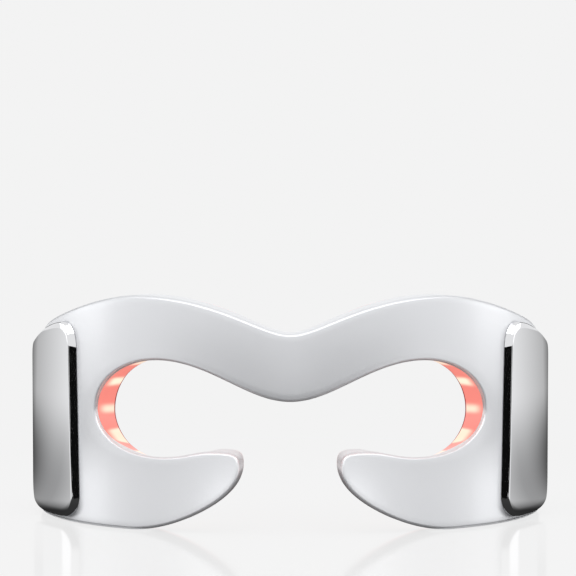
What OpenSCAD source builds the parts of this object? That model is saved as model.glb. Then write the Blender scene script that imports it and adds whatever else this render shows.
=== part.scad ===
// LED eye mask: a rigid wrap-around front with a lit rear lens, chrome side covers,
// and a battery and a control board in the temples. Left is -X, as seen from the front.
// Outlines are drawn in the unrolled plane: s runs sideways along the curved front,
// z is height, and n is the distance outward from the front surface.

/* [Wrap] */
// Radius of the front's curve round the brow
brow_r = 100; // [90:1:115]
// Angle at which the curve tightens towards the temples
brow_angle = 33; // [30:1:36]
// Radius of the curve at the temples
temple_r = 57; // [54:1:60]
// Angle that the temples have turned through where they run straight
temple_angle = 86; // [82:1:90]

/* [Outline] */
// Height of the top edge over the nose
bridge_top = 60.4; // [58:0.2:64]
// Height of the brow crest
crest_top = 71.3; // [69.5:0.1:75]
// Distance of the brow crest from the middle
crest_s = 47; // [45:0.5:49]
// Height of the lower edge over the nose
bridge_low = 40.1; // [38:0.1:42]
// Height of the top of the eye opening
eye_top = 51.8; // [50:0.1:53]
// Distance of the eye opening's middle from the mask's middle
eye_s = 41; // [40:0.5:43]
// Distance of the eye opening's outer end from the middle
eye_outer = 64.3; // [63:0.1:67]
// Height of the eye opening's outer end
eye_mid = 36.2; // [34:0.2:38]
// Height of the bottom of the eye opening
eye_low = 22.8; // [21:0.1:24]
// Distance of each hook's tip from the middle
tip_s = 15.3; // [14:0.1:18]
// How far the eye openings drop towards the face
eye_fall = 1; // [0:0.1:1.2]
// How far the eye openings widen above and below towards the face
eye_flare = 1.2; // [0:0.1:1.4]
// Height of the widest point of each hook's tip
tip_mid = 20.4; // [19:0.2:21]
// Height of the top of each hook's tip
tip_top = 25; // [24.5:0.1:27]
// Distance of the temples' rear edge from the middle
rear_s = 110; // [109:0.5:113]
// Height of the top of the straight rear edge
rear_top = 46; // [42:0.5:50]
// Height of the bottom of the straight rear edge
rear_low = 14; // [11:0.5:18]

/* [Shells] */
// Whole thickness from the front surface to the face side
depth = 9.7; // [9.5:0.1:10.2]
// Thickness of the front cover's skin
skin = 1.6; // [1.4:0.1:1.8]
// Depth of the front cover's outer rim
rim_depth = 7.7; // [7.4:0.1:7.9]
// How far the front cover's lip round the eye openings reaches behind the skin
lip = 0.1; // [0.1:0.1:1]
// Thickness of the front cover's rim
rim = 1.6; // [1.2:0.1:1.8]
// Radius of the front cover's rounded edge
edge_r = 1; // [0.6:0.1:1.1]
// Thickness of the lens floor and of the temple backs
floor_t = 1.2; // [1:0.1:1.4]
// Thickness of the lens walls
wall = 1.2; // [0.9:0.1:1.5]
// Height of the lens's outer wall, above its floor
lens_wall_h = 3.5; // [2:0.1:4]
// Height of the temple backs' wall, above their floor
back_wall_h = 1.8; // [1:0.1:2]
// Distance of the seam between the lens and the temple backs from the middle
seam_s = 80; // [79:0.5:81]
// Running clearance between shells that meet
fit = 0.15; // [0.1:0.01:0.2]

/* [Side covers] */
// How far the chrome side covers stand proud
pod_h = 2.5; // [2.2:0.05:3]
// How far their front walls lean back
pod_lean = 0.9; // [0.6:0.05:1.2]
// How far their other walls lean
pod_draft = 0.35; // [0.2:0.05:0.5]
// Wall thickness of the side covers
pod_wall = 1.2; // [0.9:0.1:1.5]
// Distance of a side cover's front edge from the middle
pod_s = 72; // [71:0.5:73]
// Distance of a side cover's rear edge from the middle
pod_rear = 108.2; // [107:0.2:108.6]
// Height of a side cover's top
pod_top = 62.3; // [61:0.1:62.6]
// Height of a side cover's underside
pod_low = 1.5; // [1.2:0.1:3]

/* [Lights] */
// Thickness of the flexible light board
flex_t = 0.4; // [0.2:0.05:0.5]
// Width of one light emitting diode
led_w = 2.8; // [2:0.1:3]
// Height of one light emitting diode
led_h = 3.5; // [2.8:0.1:3.6]
// Thickness of one light emitting diode
led_t = 0.8; // [0.6:0.1:1]
// Distance of the first row of lights from the eye opening's edge
row_start = 5.1; // [5:0.1:5.2]
// Distance between the rows of lights
row_pitch = 4.7; // [4.4:0.1:4.8]

/* [Battery] */
// Width of the battery cell
cell_w = 18; // [14:0.5:19]
// Height of the battery cell
cell_h = 34; // [28:0.5:35]
// Thickness of the battery cell
cell_t = 3.5; // [3:0.1:3.6]
// Height of the cell's upper end
cell_top = 46; // [43:0.5:46]

/* [Control board] */
// Distance of the board's and the cell's middle from the mask's middle
inside_s = 94; // [93.5:0.1:94.5]
// Width of the control board
board_w = 18; // [17:0.5:18]
// Height of the control board
board_h = 30; // [28:0.5:34]
// Thickness of the control board
board_t = 1; // [0.8:0.1:1.2]

/* [Power button] */
// Length of the power button's cap
button_l = 6.4; // [5.8:0.1:6.6]
// Width of the power button's cap
button_w = 2.6; // [2.2:0.1:2.7]
// Travel of the power button
button_travel = 0.5; // [0.3:0.05:0.6]

/* [Pads and strap] */
// Thickness of the silicone nose pad
nose_pad_t = 3.4; // [2:0.1:5]
// Thickness of the silicone brow pads
brow_pad_t = 2.4; // [1.5:0.1:4]
// Width of the strap slots
slot_w = 5.5; // [5:0.1:6]
// Height of the strap slots
slot_h = 24; // [20:0.5:26]
// Length of the ears that hold the strap
ear_l = 10.5; // [10.5:0.5:13]

/* [Hidden] */
$fn = 48;

// The curve in plan
s_bend = brow_r * brow_angle * PI / 180;
s_straight = s_bend + temple_r * (temple_angle - brow_angle) * PI / 180;
bend_x = (brow_r - temple_r) * sin(brow_angle);
bend_y = brow_r - (brow_r - temple_r) * cos(brow_angle);

function degrees(length, r) = length / r * 180 / PI;
function turn(s) =
    let (u = abs(s))
    u <= s_bend ? degrees(u, brow_r) : min(brow_angle + degrees(u - s_bend, temple_r), temple_angle);
function plan(s, n) =
    let (u = abs(s), a = turn(s), run = max(u - s_straight, 0))
    u <= s_bend
    ? [(brow_r + n) * sin(a), brow_r - (brow_r + n) * cos(a)]
    : [
        bend_x + (temple_r + n) * sin(a) + run * cos(a),
        bend_y - (temple_r + n) * cos(a) + run * sin(a)
    ];

// The strap ears reach furthest back, and the origin lies midway between front and back
ear_s = rear_s + ear_l;
ear_y = plan(ear_s, 0.2 - depth)[1];
function wrap(p, n) =
    let (q = plan(p[0], n))
    [(p[0] < 0 ? -1 : 1) * q[0], q[1] - ear_y / 2, p[1]];

// Sets children on the surface, x along it, y inward and z up
module on_surface(s, z) {
    translate(wrap([s, z], 0)) rotate([0, 0, sign(s) * turn(s)]) children();
}

// Lists of points
function mix(a, b, t) = a + (b - a) * t;
function flip(list) = [for (i = [len(list) - 1 : -1 : 0]) list[i]];
function mirrored(list) = [for (p = list) [-p[0], p[1]]];
function unit(v) = v / norm(v);
function way(angle) = [cos(angle), sin(angle)];

// A smooth run between two knots, each [place, heading, pull before, pull after]
function bezier(a, b, t) =
    let (
        p = a[0],
        q = a[0] + a[3] * way(a[1]),
        r = b[0] - b[2] * way(b[1]),
        e = b[0]
    )
    p * pow(1 - t, 3) + 3 * q * t * pow(1 - t, 2) + 3 * r * pow(t, 2) * (1 - t) + e * pow(t, 3);
function smooth_path(knots, counts) = concat(
    [knots[0][0]],
    [for (i = [0 : len(counts) - 1], k = [1 : counts[i]]) bezier(knots[i], knots[i + 1], k / counts[i])]
);

// Knots of the right half's outer edge, from the bridge round the temple to the hook
edge_knots = [
    [[0, bridge_top], 0, 0, 9],
    [[crest_s, crest_top], 0, 26, 8],
    [[seam_s, 64.7], -16, 17, 5],
    [[97, 59], -26, 6, 5],
    [[rear_s, rear_top], -90, 8, 8],
    [[rear_s, rear_low], -90, 8, 8],
    [[101, 0], 180, 6, 6],
    [[seam_s, 0], 180, 5, 8],
    [[52, 0], 180, 9, 6.5],
    [[31, 4.8], 155, 7.5, 5.5],
    [[tip_s, tip_mid], 90, 7.8, 4]
];
edge_counts = [8, 6, 3, 4, 3, 4, 3, 5, 4, 6];
edge_tip = [[tip_s, tip_mid], 90, 7.8, 4];
tip_end = [[tip_s + 7.4, tip_top], 0, 6, 4];

// Knots of the eye opening's edge, from the bridge round the eye to the hook
eye_knots = [
    [[0, bridge_low], 0, 0, 13],
    [[eye_s, eye_top], 0, 17, 12.8],
    [[eye_outer, eye_mid], -90, 7.8, 5.4],
    [[eye_s, eye_low], 180, 15.5, 8.5],
    [[tip_s + 7.4, tip_top], 180, 7, 4]
];
eye_counts = [8, 14, 14, 10];

// Each rib joins a place on the outer edge to one on the eye's edge
tip_share = [1 / 3, 2 / 3];
half_outer = concat(smooth_path(edge_knots, edge_counts), [bezier(edge_tip, tip_end, tip_share[0])]);
half_inner = concat(smooth_path(eye_knots, eye_counts), [bezier(edge_tip, tip_end, tip_share[1])]);
ribs = len(half_outer) * 2 - 1;
outer = concat(flip(mirrored([for (i = [1 : len(half_outer) - 1]) half_outer[i]])), half_outer);
inner = concat(flip(mirrored([for (i = [1 : len(half_inner) - 1]) half_inner[i]])), half_inner);

// Closed loop round ribs, with the points between the ends of the last and the first rib
function rib_loop(a, b, first, last) = concat(a, last, flip(b), flip(first));
function between(p, q, steps) = [for (k = [1 : steps - 1]) mix(p, q, k / steps)];
function tip_points(steps) = [
    for (k = [1 : steps - 1]) bezier(edge_tip, tip_end, mix(tip_share[0], tip_share[1], k / steps))
];
function clip(a, b, limit) =
    abs(a[0]) <= limit ? a : mix(b, a, (limit - abs(b[0])) / (abs(a[0]) - abs(b[0])));
function mask_loop(limit, steps) = rib_loop(
    [for (i = [0 : ribs - 1]) clip(outer[i], inner[i], limit)],
    inner,
    mirrored(tip_points(steps)),
    tip_points(steps)
);

// Moves a loop's points inward along the mitre of their two sides
function right_of(v) = let (u = unit(v)) [u[1], -u[0]];
function inset(loop, d) = [
    for (i = [0 : len(loop) - 1])
        let (
            c = len(loop),
            before = right_of(loop[i] - loop[(i + c - 1) % c]),
            after = right_of(loop[(i + 1) % c] - loop[i]),
            step = is_list(d) ? d[i] : d
        )
        loop[i] + (before + after) / (1 + before * after) * step
];

// The rim stays deep along the hooks and gets shallow round the outer end of each eye opening.
// This is the share of the shallow section at each point of the mask's loop, counted in ribs
shallow_from = 15.5;
shallow_fade = 3.5;
function ramp(x) = let (u = min(max(0.5 + x / 2, 0), 1)) u * u * (3 - 2 * u);
function eye_share(i, steps) =
    let (j = i - ribs - steps + 1)
    j < 0 || j > ribs - 1 ? 0 : ramp((min(j, ribs - 1 - j) - shallow_from) / shallow_fade);

// The eye openings drop and widen towards the face, but not at the hooks' tips.
// This is how far each point of the mask's loop has moved down at the face
fall_ribs = 6;
function fall(loop, i, steps) =
    let (
        j = i - ribs - steps + 1,
        widened = eye_flare * (loop[i][1] - eye_mid) / (eye_top - eye_low) * 2
    )
    j < 0 || j > ribs - 1 ? 0 : ramp(2 * min(j, ribs - 1 - j) / fall_ribs - 1) * (eye_fall - widened);

// Sections are lists of [inset, n]. A mask's ring mixes the outer edge's with the eye edge's
function mask_ring(loop, steps, at_edge, at_eye) =
    let (
        all = [0 : len(loop) - 1],
        share = [for (i = all) eye_share(i, steps)],
        level = [for (w = share) mix(at_edge[1], at_eye[1], w)],
        line = inset(loop, [for (w = share) mix(at_edge[0], at_eye[0], w)])
    )
    [
        [for (i = all) line[i] + [0, fall(loop, i, steps) * level[i] / depth]],
        level
    ];
function even_ring(loop, d, n) = [inset(loop, d), [for (p = loop) n]];

// A closed solid through rings of the same loop, capped across its ribs at both ends
module wrapped_solid(rings, m, steps) {
    count = len(rings[0][0]);
    last = len(rings) - 1;
    inside = (m - 2) * (steps - 1);
    function place(j, k, base, within) =
        k == 0 ? base + j
        : k == steps ? base + m + steps - 1 + m - 1 - j
        : j == 0 ? base + 2 * m + steps - 1 + steps - 1 - k
        : j == m - 1 ? base + m + k - 1
        : within + (j - 1) * (steps - 1) + k - 1;
    function cap_points(ring) = [
        for (j = [1 : m - 2], k = [1 : steps - 1])
            let (other = 2 * m + steps - 2 - j)
            wrap(mix(ring[0][j], ring[0][other], k / steps), mix(ring[1][j], ring[1][other], k / steps))
    ];
    function cap_faces(base, within, out) = [
        for (j = [0 : m - 2], k = [0 : steps - 1])
            let (
                a = place(j, k, base, within),
                b = place(j + 1, k, base, within),
                c = place(j + 1, k + 1, base, within),
                d = place(j, k + 1, base, within)
            )
            each out ? [[a, b, c], [a, c, d]] : [[a, c, b], [a, d, c]]
    ];
    side = [
        for (r = [0 : last - 1], i = [0 : count - 1])
            let (
                a = r * count + i,
                b = r * count + (i + 1) % count,
                c = b + count,
                d = a + count
            )
            each [[a, d, c], [a, c, b]]
    ];
    polyhedron(
        concat(
            [for (ring = rings, i = [0 : count - 1]) wrap(ring[0][i], ring[1][i])],
            cap_points(rings[0]),
            cap_points(rings[last])
        ),
        concat(
            side,
            cap_faces(0, count * (last + 1), true),
            cap_faces(count * last, count * (last + 1) + inside, false)
        ),
        convexity = 10
    );
}

// The temple's own loop, with ribs from its top edge to its bottom edge
temple_from = edge_counts[0] + edge_counts[1];
temple_ribs = edge_counts[2] + edge_counts[3] + 1;
temple_span = 2 * temple_ribs + edge_counts[4] - 2;
function temple_loop(steps) =
    let (
        a = [for (i = [0 : temple_ribs - 1]) half_outer[temple_from + i]],
        b = [for (i = [0 : temple_ribs - 1]) half_outer[temple_from + temple_span - i]],
        e = temple_ribs - 1
    )
    rib_loop(a, b, between(a[0], b[0], steps), between(a[e], b[e], steps));

// The ring's walls, shared by the shells that meet at the rim
flange = 0.2;
seat_y = rim_depth + fit;
lip_depth = skin + lip;
floor_y = depth - floor_t;
wall_outer = rim + fit;
wall_inner = wall_outer + wall;
cover_steps = 6;
lens_steps = 4;
temple_steps = 5;
flex_steps = 3;

// Inward levels of the lights, behind the cover's skin
flex_y = skin + 2 * fit;
led_y = flex_y + flex_t + 2 * fit;

module rounded(w, h, r) {
    square([w - 2 * r, h], center = true);
    square([w, h - 2 * r], center = true);
    for (x = [-1, 1], y = [-1, 1]) translate([x * (w / 2 - r), y * (h / 2 - r)]) circle(r);
}
// A block in the surface's local frame, given by its middle, size and inward range
module block(x, z, w, h, y, t) {
    translate([x - w / 2, y, z - h / 2]) cube([w, t, h]);
}
// A round piece whose axis runs inward through the surface
module inward(x, z, r, y, t) {
    translate([x, y, z]) rotate([-90, 0, 0]) cylinder(r = r, h = t);
}

// Screws through the temple backs into the cover's bosses
screw_places = [[86, 57], [101.2, 49.5]];
screw_r = 0.95;
screw_l = 5;
head_r = 1.8;
head_t = 0.7;
boss_r = 2.2;
boss_end = seat_y - 0.3;
module at_screws() {
    for (p = screw_places) on_surface(p[0], p[1]) children();
}

module front_cover() {
    loop = mask_loop(rear_s, cover_steps);
    soft = [0.3 * edge_r, -0.3 * edge_r];
    color("silver") difference() {
        union() {
            wrapped_solid(
                [
                    mask_ring(loop, cover_steps, [edge_r, 0], [edge_r, 0]),
                    mask_ring(loop, cover_steps, soft, soft),
                    mask_ring(loop, cover_steps, [0, -edge_r], [0, -edge_r]),
                    mask_ring(loop, cover_steps, [0, -rim_depth], [0, -lip_depth]),
                    mask_ring(loop, cover_steps, [rim, -rim_depth], [rim, -lip_depth]),
                    mask_ring(loop, cover_steps, [rim, -skin], [rim, -skin])
                ],
                ribs,
                cover_steps
            );
            for (side = [0, 1]) mirror([side, 0, 0]) at_screws()
                inward(0, 0, boss_r, skin * 0.7, boss_end - skin * 0.7);
        }
        for (side = [0, 1]) mirror([side, 0, 0]) at_screws()
            inward(0, 0, screw_r + 0.05, boss_end - screw_l + 1, screw_l);
        at_button() button_shape(fit, -1, rim + 1.5);
        at_light() cylinder(r = pipe_r + 0.05, h = rim + 2);
        at_port() translate([0, 0, -1]) linear_extrude(rim + 4.4)
            rounded(port_w + 2 * fit, port_t + 2 * fit, port_t / 2);
    }
}

module rear_lens() {
    loop = mask_loop(seam_s, lens_steps);
    seat = -lip_depth - fit;
    color([1, 0.45, 0.4, 0.7]) wrapped_solid(
        [
            mask_ring(loop, lens_steps, [wall_inner, -floor_y], [wall + 0.1, -floor_y]),
            mask_ring(loop, lens_steps, [wall_inner, lens_wall_h - floor_y], [wall_outer + 0.1, seat]),
            mask_ring(loop, lens_steps, [wall_outer, lens_wall_h - floor_y], [wall_outer + 0.05, seat]),
            mask_ring(loop, lens_steps, [wall_outer, -seat_y], [wall_outer, seat]),
            mask_ring(loop, lens_steps, [flange, -seat_y], [0.1, seat]),
            mask_ring(loop, lens_steps, [flange, 0.7 - depth], [0.1, 0.7 - depth]),
            mask_ring(loop, lens_steps, [flange + 0.8, -depth], [0.9, -depth])
        ],
        ribs,
        lens_steps
    );
}

// Chrome side covers, lofted from a base outline on the cover to a smaller face
pod_counts = [4, 4, 4];
pod_ribs = 13;
pod_steps = 5;
pod_corner = 6.2;
pod_tail = 7.2;
pod_edge = 0.5;
module side_cover_right() {
    top = [
        [[pod_s + 0.4, pod_top - 8.3], 90, 0, 4.4], [[pod_s + pod_corner, pod_top], -3, 3.4, 6],
        [[pod_rear - pod_tail, pod_top - 7.1], -19, 8, 4], [[pod_rear, rear_top + 2], -90, 4, 0]
    ];
    low = [
        [[pod_s - 0.8, pod_low + 7], -90, 0, 3.8], [[pod_s + pod_corner, pod_low], 0, 3.8, 8],
        [[pod_rear - pod_tail, pod_low + 1.7], 13, 8, 4], [[pod_rear, rear_low - 2], 90, 4, 0]
    ];
    a = smooth_path(top, pod_counts);
    b = smooth_path(low, pod_counts);
    base = rib_loop(
        a,
        b,
        flip(between(b[0], a[0], pod_steps)),
        between(a[pod_ribs - 1], b[pod_ribs - 1], pod_steps)
    );
    sides = [for (i = [0 : pod_ribs - 1]) mix(pod_lean, pod_draft, min(i / pod_counts[0], 1))];
    lean = rib_loop(
        sides,
        sides,
        [for (i = [1 : pod_steps - 1]) pod_lean],
        [for (i = [1 : pod_steps - 1]) pod_draft]
    );
    face = inset(base, lean);
    color("gainsboro") wrapped_solid(
        [
            even_ring(face, pod_edge, pod_h),
            even_ring(face, 0.3 * pod_edge, pod_h - 0.3 * pod_edge),
            even_ring(face, 0, pod_h - pod_edge),
            even_ring(base, 0, fit),
            even_ring(base, pod_wall, fit),
            even_ring(face, pod_wall, pod_h - pod_wall)
        ],
        pod_ribs,
        pod_steps
    );
}
module side_cover_left() {
    mirror([1, 0, 0]) side_cover_right();
}

// Opaque backs of the temples, each with an ear for the head strap
ear_t = 2.8;
ear_h = slot_h + 8;
ear_z = (rear_top + rear_low) / 2;
module strap_ear() {
    on_surface(rear_s, ear_z) translate([0, depth - 0.2, 0]) rotate([90, 0, 0]) difference() {
        union() {
            translate([ear_l / 2 - 1.6, 0, 0]) linear_extrude(1.5) rounded(ear_l + 3.2, ear_h, 3);
            translate([ear_l / 2 + 0.3, 0, 0]) linear_extrude(ear_t) rounded(ear_l - 0.6, ear_h, 3);
        }
        translate([ear_l / 2 + 0.4, 0, -1]) linear_extrude(ear_t + 2) rounded(slot_w, slot_h, 2);
    }
}
module temple_back_right() {
    loop = temple_loop(temple_steps);
    color("whitesmoke") difference() {
        union() {
            wrapped_solid(
                [
                    even_ring(loop, wall_inner, -floor_y),
                    even_ring(loop, wall_inner, back_wall_h - floor_y),
                    even_ring(loop, wall_outer, back_wall_h - floor_y),
                    even_ring(loop, wall_outer, -seat_y),
                    even_ring(loop, flange, -seat_y),
                    even_ring(loop, flange, 0.7 - depth),
                    even_ring(loop, flange + 0.8, -depth)
                ],
                temple_ribs,
                temple_steps
            );
            at_screws() inward(0, 0, boss_r + 0.6, boss_end + fit, depth - 0.3 - boss_end);
            strap_ear();
        }
        at_screws() {
            inward(0, 0, screw_r + 0.15, boss_end - 1, depth);
            inward(0, 0, head_r + fit, depth - head_t - fit, 2);
        }
    }
}
module temple_back_left() {
    mirror([1, 0, 0]) temple_back_right();
}
module temple_screws() {
    color("dimgray") for (side = [0, 1]) mirror([side, 0, 0]) at_screws() difference() {
        union() {
            inward(0, 0, screw_r, depth - head_t - fit - screw_l, screw_l + 0.2);
            inward(0, 0, head_r, depth - head_t - fit, head_t);
        }
        for (turned = [0, 90]) translate([0, depth - fit, 0]) rotate([0, turned, 0])
            cube([2.2, 0.8, 0.5], center = true);
    }
}

// Flexible board that carries the lights
module light_board() {
    loop = mask_loop(seam_s, flex_steps);
    back = -flex_y - flex_t;
    color("white") wrapped_solid(
        [
            mask_ring(loop, flex_steps, [wall_inner - 0.6, -flex_y], [wall_outer + 0.25, -flex_y]),
            mask_ring(loop, flex_steps, [wall_inner - 0.6, back], [wall_outer + 0.25, back])
        ],
        ribs,
        flex_steps
    );
}

// Rows of lights follow the eye opening, spaced evenly along each row.
// Each place is [s, z, room left to the outer edge], and a row has lights only where they fit
function row_line(first, last, distance) = [
    for (j = [first : last])
        let (across = half_outer[j] - half_inner[j])
        concat(half_inner[j] + distance * unit(across), norm(across) - distance)
];
function spread(line, count) =
    let (
        gaps = [
            for (i = [1 : len(line) - 1])
                norm([line[i][0] - line[i - 1][0], line[i][1] - line[i - 1][1]])
        ],
        along = [for (i = 0, l = 0; i < len(line); l = l + (i < len(gaps) ? gaps[i] : 0), i = i + 1) l],
        tables = [for (v = [0 : 2]) [for (i = [0 : len(line) - 1]) [along[i], line[i][v]]]]
    )
    [
        for (k = [0 : count - 1])
            let (l = along[len(line) - 1] * k / (count - 1))
            [for (table = tables) lookup(l, table)]
    ];
light_room = wall_outer + norm([led_w, led_h]) / 2;

// Each run is [first rib, last rib, row, count]
light_runs = [[3, 44, 0, 10], [2, 44, 1, 15], [3, 11, 2, 5], [29, 38, 2, 7]];
resistor_runs = [[12, 16, 2, 4], [25, 27, 2, 2]];
function places(runs) = [
    for (run = runs, p = spread(row_line(run[0], run[1], row_start + run[2] * row_pitch), run[3])) p
];
light_places = [for (p = places(light_runs)) if (p[2] > light_room) p];
kinds = 4;
module leds(kind, tint) {
    color(tint) for (side = [0, 1], i = [kind : kinds : len(light_places) - 1])
        mirror([side, 0, 0]) on_surface(light_places[i][0], light_places[i][1]) difference() {
            block(0, 0, led_w, led_h, led_y, led_t);
            inward(0, 0, led_w * 0.38, led_y + led_t - 0.25, 1);
        }
}
module leds_amber() {
    leds(0, "orange");
}
module leds_red() {
    leds(1, "red");
}
module leds_deep_red() {
    leds(2, "firebrick");
}
module leds_infrared() {
    leds(3, "lightyellow");
}

resistor_w = 1.25;
resistor_h = 2;
resistor_t = 0.5;
module light_resistors() {
    color("black") for (side = [0, 1], p = places(resistor_runs)) mirror([side, 0, 0]) on_surface(p[0], p[1])
        block(0, 0, resistor_w, resistor_h, led_y, resistor_t);
}

// Thin tails that join the light board to the boards in the temples
tail_s = seam_s - 3.4;
tail_t = 0.2;
tail_h = 6;
module flex_tail(end_s, end_y, z) {
    steps = 2;
    count = 7;
    s = [for (i = [0 : count - 1]) mix(tail_s, end_s, i / (count - 1))];
    a = [for (v = s) [v, z + tail_h / 2]];
    b = [for (v = s) [v, z - tail_h / 2]];
    loop = rib_loop(a, b, between(a[0], b[0], steps), between(a[count - 1], b[count - 1], steps));
    function level(v) = -mix(led_y + fit, end_y, ramp(2 * (v - tail_s) / (end_s - tail_s) - 1));
    heights = [for (p = loop) level(p[0])];
    color("peru") wrapped_solid(
        [[loop, heights], [loop, [for (h = heights) h - tail_t]]],
        count,
        steps
    );
}
module flex_tail_right() {
    flex_tail(inside_s - board_w / 2 - 1.6, board_y - connector_t - tail_t, connector_z);
}
module flex_tail_left() {
    mirror([1, 0, 0]) flex_tail(inside_s - cell_w / 2 - 1.1, guard_y - tail_t - 0.3, guard_z);
}

// The battery lies flat against the back of one temple, on a strip of foam
foam_t = 0.75;
foam_side = 3;
foam_end = 5;
back_gap = foam_t + 0.15;
cell_y = floor_y - back_gap - cell_t;
cell_z = cell_top - cell_h;
guard_w = 12;
guard_h = 4.4;
guard_t = 0.8;
guard_y = cell_y + 1;
guard_z = cell_top + guard_h / 2 + 0.4;
guard_parts = [[-1.5, 3, 0.8], [2.4, 2, 0.7]];
tab_w = 2.4;
tab_h = 3;
tab_t = 0.2;
module in_left_temple() {
    mirror([1, 0, 0]) on_surface(inside_s, 0) children();
}
module battery_cell() {
    color("lightsteelblue") in_left_temple() translate([0, cell_y + cell_t, cell_z + cell_h / 2])
        rotate([90, 0, 0]) linear_extrude(cell_t) rounded(cell_w, cell_h, 1.2);
}
module battery_foam() {
    color("gray") in_left_temple()
        block(
            0, cell_z + cell_h / 2, cell_w - 2 * foam_side, cell_h - 2 * foam_end,
            cell_y + cell_t + 0.05, foam_t
        );
}
module battery_protection_board() {
    middle = (guard_w - cell_w) / 2;
    color("darkgreen") in_left_temple() {
        block(middle, guard_z, guard_w, guard_h, guard_y, guard_t);
        for (p = guard_parts) block(middle + p[0], guard_z, p[1], guard_h - 1.8, guard_y - p[2], p[2]);
    }
}
module battery_tabs() {
    color("silver") in_left_temple() for (side = [-1, 1])
        block(
            (guard_w - cell_w) / 2 + side * (guard_w / 2 - tab_w - 0.1),
            cell_top + tab_h / 2,
            tab_w,
            tab_h,
            guard_y + guard_t + 0.02,
            tab_t
        );
}

// The control board stands in the other temple, with its parts towards the cover
board_y = floor_y - back_gap - board_t;
board_z = wall_inner + 2.25;
board_x = -0.5;
connector_z = board_z + 25;
connector_t = 1.5;

// Parts on the board are [x, z, width, height, thickness] from the board's foot
chip = [2.4, 18, 5, 5, 0.9];
driver = [-4.6, 13, 4, 4, 0.8];
inductor = [3.6, 25.5, 5, 5, 2.2];
module in_right_temple() {
    on_surface(inside_s, 0) children();
}
module control_board() {
    color("seagreen") in_right_temple() translate([board_x, board_y + board_t, board_z + board_h / 2])
        rotate([90, 0, 0]) linear_extrude(board_t) rounded(board_w, board_h, 1.5);
}
module on_board(p) {
    in_right_temple() block(board_x + p[0], board_z + p[1], p[2], p[3], board_y - p[4], p[4]);
}
module control_chip() {
    color("black") on_board(chip);
}
module led_driver_chip() {
    color("black") on_board(driver);
}
module driver_inductor() {
    color("dimgray") on_board(inductor);
}
module flex_connector() {
    z = connector_z - board_z;
    color("ivory") difference() {
        on_board([2 - board_w / 2, z, 3.6, tail_h + 3, connector_t]);
        on_board([0.4 - board_w / 2, z, 2, tail_h + 2 * tail_t, connector_t - 0.4]);
    }
}

// Charging port in the temple's underside
port_w = 8.94;
port_t = 3.2;
port_l = 7.3;
port_x = 4.4;
port_z = 0.5;
port_shell = 0.3;
tongue_w = 6.2;
tongue_t = 0.7;
module at_port() {
    in_right_temple() translate([port_x, board_y - port_t / 2 - 0.02, 0]) children();
}
module usb_c_port() {
    color("silver") at_port() translate([0, 0, port_z]) {
        difference() {
            linear_extrude(port_l) rounded(port_w, port_t, port_t / 2 - 0.1);
            translate([0, 0, -1]) linear_extrude(port_l - 0.3)
                rounded(port_w - 2 * port_shell, port_t - 2 * port_shell, port_t / 2 - port_shell - 0.1);
        }
        translate([0, 0, port_l / 2 + 0.5]) cube([tongue_w, tongue_t, port_l - 1], center = true);
    }
}

// Power button beside the port, with the switch that it presses
button_x = -6.4;
button_y = board_y - button_w / 2 - 0.35;
button_z = 0.2;
button_flange = rim + fit;
button_flange_h = 0.8;
stem_top = board_z - 1.2;
switch_w = 4.4;
switch_h = 3.5;
switch_t = 3;
plunger_r = 0.7;
plunger_l = 2.9;
module pill(l, w) {
    square([l - w, w], center = true);
    for (x = [-1, 1]) translate([x * (l - w) / 2, 0]) circle(w / 2);
}
module at_button() {
    in_right_temple() translate([button_x, button_y, 0]) children();
}
module button_shape(grow, z, h) {
    translate([0, 0, z]) linear_extrude(h) pill(button_l + 2 * grow, button_w + 2 * grow);
}
module power_button() {
    color("lightgray") at_button() {
        button_shape(0, button_z, button_flange - button_z);
        button_shape(0.25, button_flange, button_flange_h);
        translate([0, 0, button_flange]) cylinder(r = plunger_r + 0.3, h = stem_top - button_flange);
    }
}
module switch_plunger() {
    color("black") at_button() translate([0, 0, stem_top]) cylinder(r = plunger_r, h = plunger_l);
}
module tact_switch() {
    color("dimgray") difference() {
        on_board([button_x - board_x, 0.3 + switch_h / 2, switch_w, switch_h, switch_t]);
        at_button() translate([0, 0, stem_top])
            cylinder(r = plunger_r + fit, h = plunger_l + button_travel + 0.4);
    }
}

// Status light beside the button
pipe_r = 0.8;
light_x = -1.75;
module at_light() {
    in_right_temple() translate([light_x, board_y - 1, -1]) children();
}
module status_light_pipe() {
    color("white") at_light() translate([0, 0, 1.15]) cylinder(r = pipe_r, h = board_z);
}
module status_led() {
    color("ivory") in_right_temple() block(light_x, board_z + 0.75, 2, 1, board_y - 1.5, 1.5);
}

// Silicone pads on the face side
function pad_loop(line, lift, height, steps) =
    let (
        a = [for (p = line) p + [0, lift + height]],
        b = [for (p = line) p + [0, lift]],
        e = len(line) - 1
    )
    rib_loop(a, b, between(a[0], b[0], steps), between(a[e], b[e], steps));
module pad(line, lift, height, t) {
    steps = 3;
    loop = pad_loop(line, lift, height, steps);
    wrapped_solid(
        [
            even_ring(loop, 0, -depth - fit),
            even_ring(loop, 0, -depth - t + 1),
            even_ring(loop, 0.3, -depth - t + 0.3),
            even_ring(loop, 1, -depth - t)
        ],
        len(line),
        steps
    );
}
middle = len(half_inner) - 1;
nose_pad_lift = 2;
nose_pad_h = 9;
brow_pad_drop = 8.5;
brow_pad_h = 6;
module nose_pad() {
    color("mistyrose") pad([for (j = [-4 : 4]) inner[middle + j]], nose_pad_lift, nose_pad_h, nose_pad_t);
}
module brow_pad_right() {
    color("mistyrose") pad([for (j = [7 : 12]) half_outer[j]], -brow_pad_drop, brow_pad_h, brow_pad_t);
}
module brow_pad_left() {
    mirror([1, 0, 0]) brow_pad_right();
}

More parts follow.
